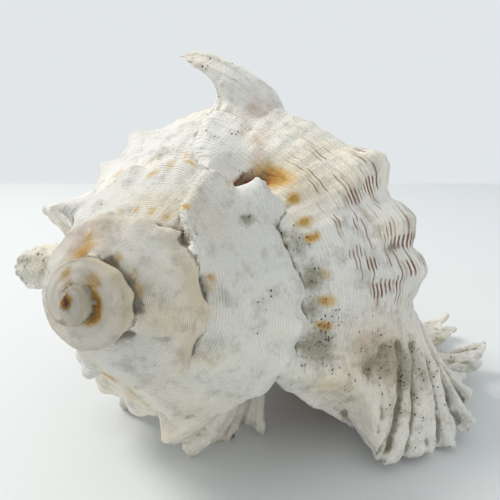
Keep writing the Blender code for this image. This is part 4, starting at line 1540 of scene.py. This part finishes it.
@dataclass
class Shell:
    """The shell's body: grown, fused, hollowed, worn and painted."""

    growth: Growth = field(default_factory=Growth)
    wall: Wall = field(default_factory=Wall)
    varices: tuple[Varix, ...] = (LIP, CREST, FAR_SIDE, FOOT, COLLAR, *SPIRE)
    leaf: Leaf = field(default_factory=Leaf)
    canal: Canal = field(default_factory=Canal)
    mouth: Mouth = field(default_factory=Mouth)
    relief: Relief = field(default_factory=Relief)
    paint: Paint = field(default_factory=Paint)
    finish: WornShell = field(default_factory=WornShell)
    rib_spine_root: tuple[float, float, float] = (-287.0, 0.78, -1.50)
    rib_spine_tip: tuple[float, float, float] = (-281.0, 1.385, -1.90)
    rib_spine_radius: float = 0.085
    voxel: float = 0.00058
    triangles: int = 190_000
    crater_size: tuple[float, float] = (0.017, 0.05)
    crater_place: tuple[float, float, float] = (0.0, 0.0, -0.055)
    crater_stain: float = 0.0019
    ground_size: float = 0.8
    ground_depth: float = 0.05

    def solids(self) -> Patch:
        """All solids that the shell is fused from, joined."""
        made = [Whorls().patch(self.growth, self.wall)]
        made += [varix.patch(self.growth, self.wall) for varix in self.varices]
        made += self.canal.patches()
        made.append(self.leaf.patch(self.growth))
        root, tip = self.growth.place(*self.rib_spine_root), self.growth.place(*self.rib_spine_tip)
        made.append(blunt_spine(root, tip, self.rib_spine_radius, np.zeros(3)))
        return Patch.joined(made)

    def apply(self, thing: bpy.types.Object, kind: str, **settings: Any) -> None:
        """Add a modifier and apply it.

        Args:
            thing: The object.
            kind: The modifier's type.
            settings: Its settings.
        """
        made = thing.modifiers.new(kind.lower(), kind)
        for name, value in settings.items():
            setattr(made, name, value)
        make_active(thing)
        bpy.ops.object.modifier_apply(modifier=made.name)

    def cut(self, thing: bpy.types.Object, tool: bpy.types.Object) -> None:
        """Take a tool's shape away and remove the tool.

        Args:
            thing: The object to cut.
            tool: The shape to take away.
        """
        self.apply(thing, "BOOLEAN", operation="DIFFERENCE", solver="EXACT", object=tool)
        bpy.data.objects.remove(tool)

    def points(self, thing: bpy.types.Object, kind: str = "co") -> np.ndarray:
        """Places or normals of an object's vertices, one in each row."""
        count = len(thing.data.vertices)
        flat = np.empty(count * 3, np.float32)
        source = thing.data.vertices if kind == "co" else thing.data.vertex_normals
        source.foreach_get("co" if kind == "co" else "vector", flat)
        return flat.reshape(-1, 3).astype(float)

    def concavity(self, thing: bpy.types.Object, rounds: int = 6) -> np.ndarray:
        """How hollow the surface is at each vertex, from -1 on sharp edges to 1 in tight hollows.

        Args:
            thing: The object.
            rounds: How many times the values are evened out over neighbours.

        Returns:
            One number for each vertex.
        """
        co, normal = self.points(thing), self.points(thing, "normal")
        edges = np.empty(len(thing.data.edges) * 2, np.int32)
        thing.data.edges.foreach_get("vertices", edges)
        a, b = edges.reshape(-1, 2).T
        count = np.bincount(np.concatenate([a, b]), minlength=len(co))
        run = co[b] - co[a]
        span = np.linalg.norm(run, axis=1) + 1e-9
        bend = np.bincount(a, (run * normal[a]).sum(1) / span, len(co))
        bend += np.bincount(b, (-run * normal[b]).sum(1) / span, len(co))
        bend /= np.maximum(count, 1)
        for _ in range(rounds):
            near = np.bincount(a, bend[b], len(co)) + np.bincount(b, bend[a], len(co))
            bend = 0.5 * bend + 0.5 * near / np.maximum(count, 1)
        return np.clip(bend * 9.0, -1.0, 1.0)

    def crater(self) -> bpy.types.Object:
        """Pit worn into the apex, as a tool to cut with."""
        deselect_all()
        bpy.ops.mesh.primitive_cone_add(vertices=32, radius1=0.3, radius2=1.0, depth=1.0)
        pit = bpy.context.active_object
        radius, depth = self.crater_size
        pit.data.transform(Matrix.Diagonal((radius, radius, depth, 1.0)))
        pit.data.transform(Matrix.Translation(self.crater_place))
        pit.data.transform(self.growth.lay_down() @ Matrix.Scale(self.growth.unit, 4))
        return pit

    def ground(self) -> bpy.types.Object:
        """Block under the ground, which wears flat rests on the lowest tips."""
        deselect_all()
        bpy.ops.mesh.primitive_cube_add(size=1.0, location=(0.0, 0.0, -0.5 * self.ground_depth))
        block = bpy.context.active_object
        block.scale = (self.ground_size, self.ground_size, self.ground_depth)
        bpy.ops.object.transform_apply(location=True, rotation=False, scale=True)
        return block

    def build(self) -> bpy.types.Object:
        """The finished shell, dressed and placed.

        Returns:
            The shell as one object.
        """
        lay = self.growth.lay_down()
        unit = self.growth.unit
        solids = self.solids()
        hollow = self.mouth.patch(self.growth)
        reader = MarkReader(solids, hollow, self.growth)
        shell = solids.as_object("worn_shell_body", unit, lay)
        self.apply(shell, "REMESH", mode="VOXEL", voxel_size=self.voxel)
        self.apply(shell, "SMOOTH", factor=0.5, iterations=3)
        log.info("fused: %d vertices", len(shell.data.vertices))
        self.cut(shell, hollow.as_object("mouth_hollow", unit, lay))
        self.cut(shell, self.canal.slot().as_object("canal_groove", unit, lay))
        self.cut(shell, self.crater())
        self.cut(shell, self.ground())
        places = self.points(shell)
        moved = places + self.points(shell, "normal") * self.relief.height(
            reader.read(places), places, self.growth
        )[:, None]
        moved[:, 2] = np.maximum(moved[:, 2], 0.0)
        shell.data.vertices.foreach_set("co", moved.astype(np.float32).ravel())
        shell.data.update()
        shell.data.calc_loop_triangles()
        share = self.triangles / max(len(shell.data.loop_triangles), self.triangles)
        self.apply(shell, "DECIMATE", ratio=share)
        rested = self.points(shell)
        rested[:, 2] = np.maximum(rested[:, 2], 0.0)
        shell.data.vertices.foreach_set("co", rested.astype(np.float32).ravel())
        shell.data.update()
        marks = reader.read(rested)
        bend = self.concavity(shell)
        channels = self.paint.channels(marks, bend)
        apex = np.array(lay @ (unit * Vector(self.crater_place)))
        near = np.linalg.norm(self.points(shell) - apex, axis=1)
        ring = 1.3 * ramp(near, self.crater_stain, 0.5 * self.crater_stain)
        core = 1.5 * ramp(near, 0.6 * self.crater_stain, 0.3 * self.crater_stain)
        channels["ochre"] = np.maximum(channels["ochre"], ring)
        channels["rust"] = np.maximum(channels["rust"], core)
        channels.update(turn=marks.turn, along=marks.along, hollow=bend, inner=marks.inner)
        for name, values in channels.items():
            layer = shell.data.attributes.new(name, "FLOAT", "POINT")
            layer.data.foreach_set("value", values.astype(np.float32))
        for polygon in shell.data.polygons:
            polygon.use_smooth = True
        shell.data.materials.clear()
        shell.data.materials.append(self.finish.material())
        log.info("finished: %d triangles", len(shell.data.polygons))
        return shell


@dataclass(frozen=True)
class Studio:
    """Plain pale floor, soft light and the camera at the photograph's angle. Lengths are in metres."""

    growth: Growth = Growth()
    camera_from_apex: tuple[float, float, float] = (0.800, -0.863, 0.437)
    heading: float = -18.37
    pitch: float = -15.74
    lens: float = 34.98
    sensor: float = 36.0
    floor_width: float = 3.0
    floor_reach: float = 0.525
    floor_colour: Colour = (0.70, 0.715, 0.71)
    sky_colour: Colour = (0.80, 0.835, 0.86)
    sky_strength: float = 0.95
    window_place: Colour = (-0.45, -0.10, 0.70)
    window_aim: Colour = (0.0, 0.0, 0.04)
    window_size: float = 0.30
    window_power: float = 3.8
    window_colour: Colour = (1.0, 0.97, 0.93)

    def eye(self) -> Vector:
        """Where the camera stands."""
        return Vector(self.growth.apex_place) + self.growth.unit * Vector(self.camera_from_apex)

    def floor(self) -> bpy.types.Object:
        """The floor, a plain pale plane."""
        deselect_all()
        turn = -math.radians(self.heading)
        middle = self.floor_reach - 0.5 * self.floor_width
        eye = self.eye()
        place = (eye.x - middle * math.sin(turn), eye.y + middle * math.cos(turn), 0.0)
        bpy.ops.mesh.primitive_plane_add(size=self.floor_width, location=place, rotation=(0.0, 0.0, turn))
        made = bpy.context.active_object
        made.name = "floor"
        bpy.ops.object.transform_apply(location=True, rotation=True, scale=True)
        paper = bpy.data.materials.new("pale_floor")
        paper.use_nodes = True
        shader = paper.node_tree.nodes["Principled BSDF"]
        shader.inputs["Base Color"].default_value = (*self.floor_colour, 1.0)
        shader.inputs["Roughness"].default_value = 0.9
        made.data.materials.append(paper)
        return made

    def window(self) -> None:
        """Large soft lamp that stands for a window."""
        data = bpy.data.lights.new("window", "AREA")
        data.shape = "DISK"
        data.size = self.window_size
        data.energy = self.window_power
        data.color = self.window_colour
        made = bpy.data.objects.new("window", data)
        made.location = self.window_place
        aim = Vector(self.window_aim) - Vector(self.window_place)
        made.rotation_euler = aim.to_track_quat("-Z", "Y").to_euler()
        bpy.context.scene.collection.objects.link(made)

    def camera(self) -> None:
        """The camera, where the photograph was taken from."""
        data = bpy.data.cameras.new("camera")
        data.lens = self.lens
        data.sensor_width = self.sensor
        data.clip_start = 0.001
        made = bpy.data.objects.new("camera", data)
        heading, pitch = math.radians(self.heading), math.radians(self.pitch)
        forward = Vector(
            (math.sin(heading) * math.cos(pitch), math.cos(heading) * math.cos(pitch), math.sin(pitch))
        )
        made.location = self.eye()
        made.rotation_euler = forward.to_track_quat("-Z", "Y").to_euler()
        bpy.context.scene.collection.objects.link(made)
        bpy.context.scene.camera = made

    def sky(self) -> None:
        """Even pale light from all round."""
        world = bpy.data.worlds.new("pale_room")
        world.use_nodes = True
        background = world.node_tree.nodes["Background"]
        background.inputs["Color"].default_value = (*self.sky_colour, 1.0)
        background.inputs["Strength"].default_value = self.sky_strength
        bpy.context.scene.world = world

    def build(self) -> None:
        """Set all of it up."""
        self.camera()
        self.sky()
        self.floor()
        self.window()
        bpy.context.scene.view_settings.view_transform = "Standard"


def main() -> None:
    """Build the studio and the shell."""
    logging.basicConfig(level=logging.INFO, format="%(name)s: %(message)s")
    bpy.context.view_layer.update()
    Studio().build()
    shell = Shell().build()
    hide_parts("shell")
    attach(shell, "root")
    log.info("piece: %s", shell.name)


if __name__ == "__main__":
    main()
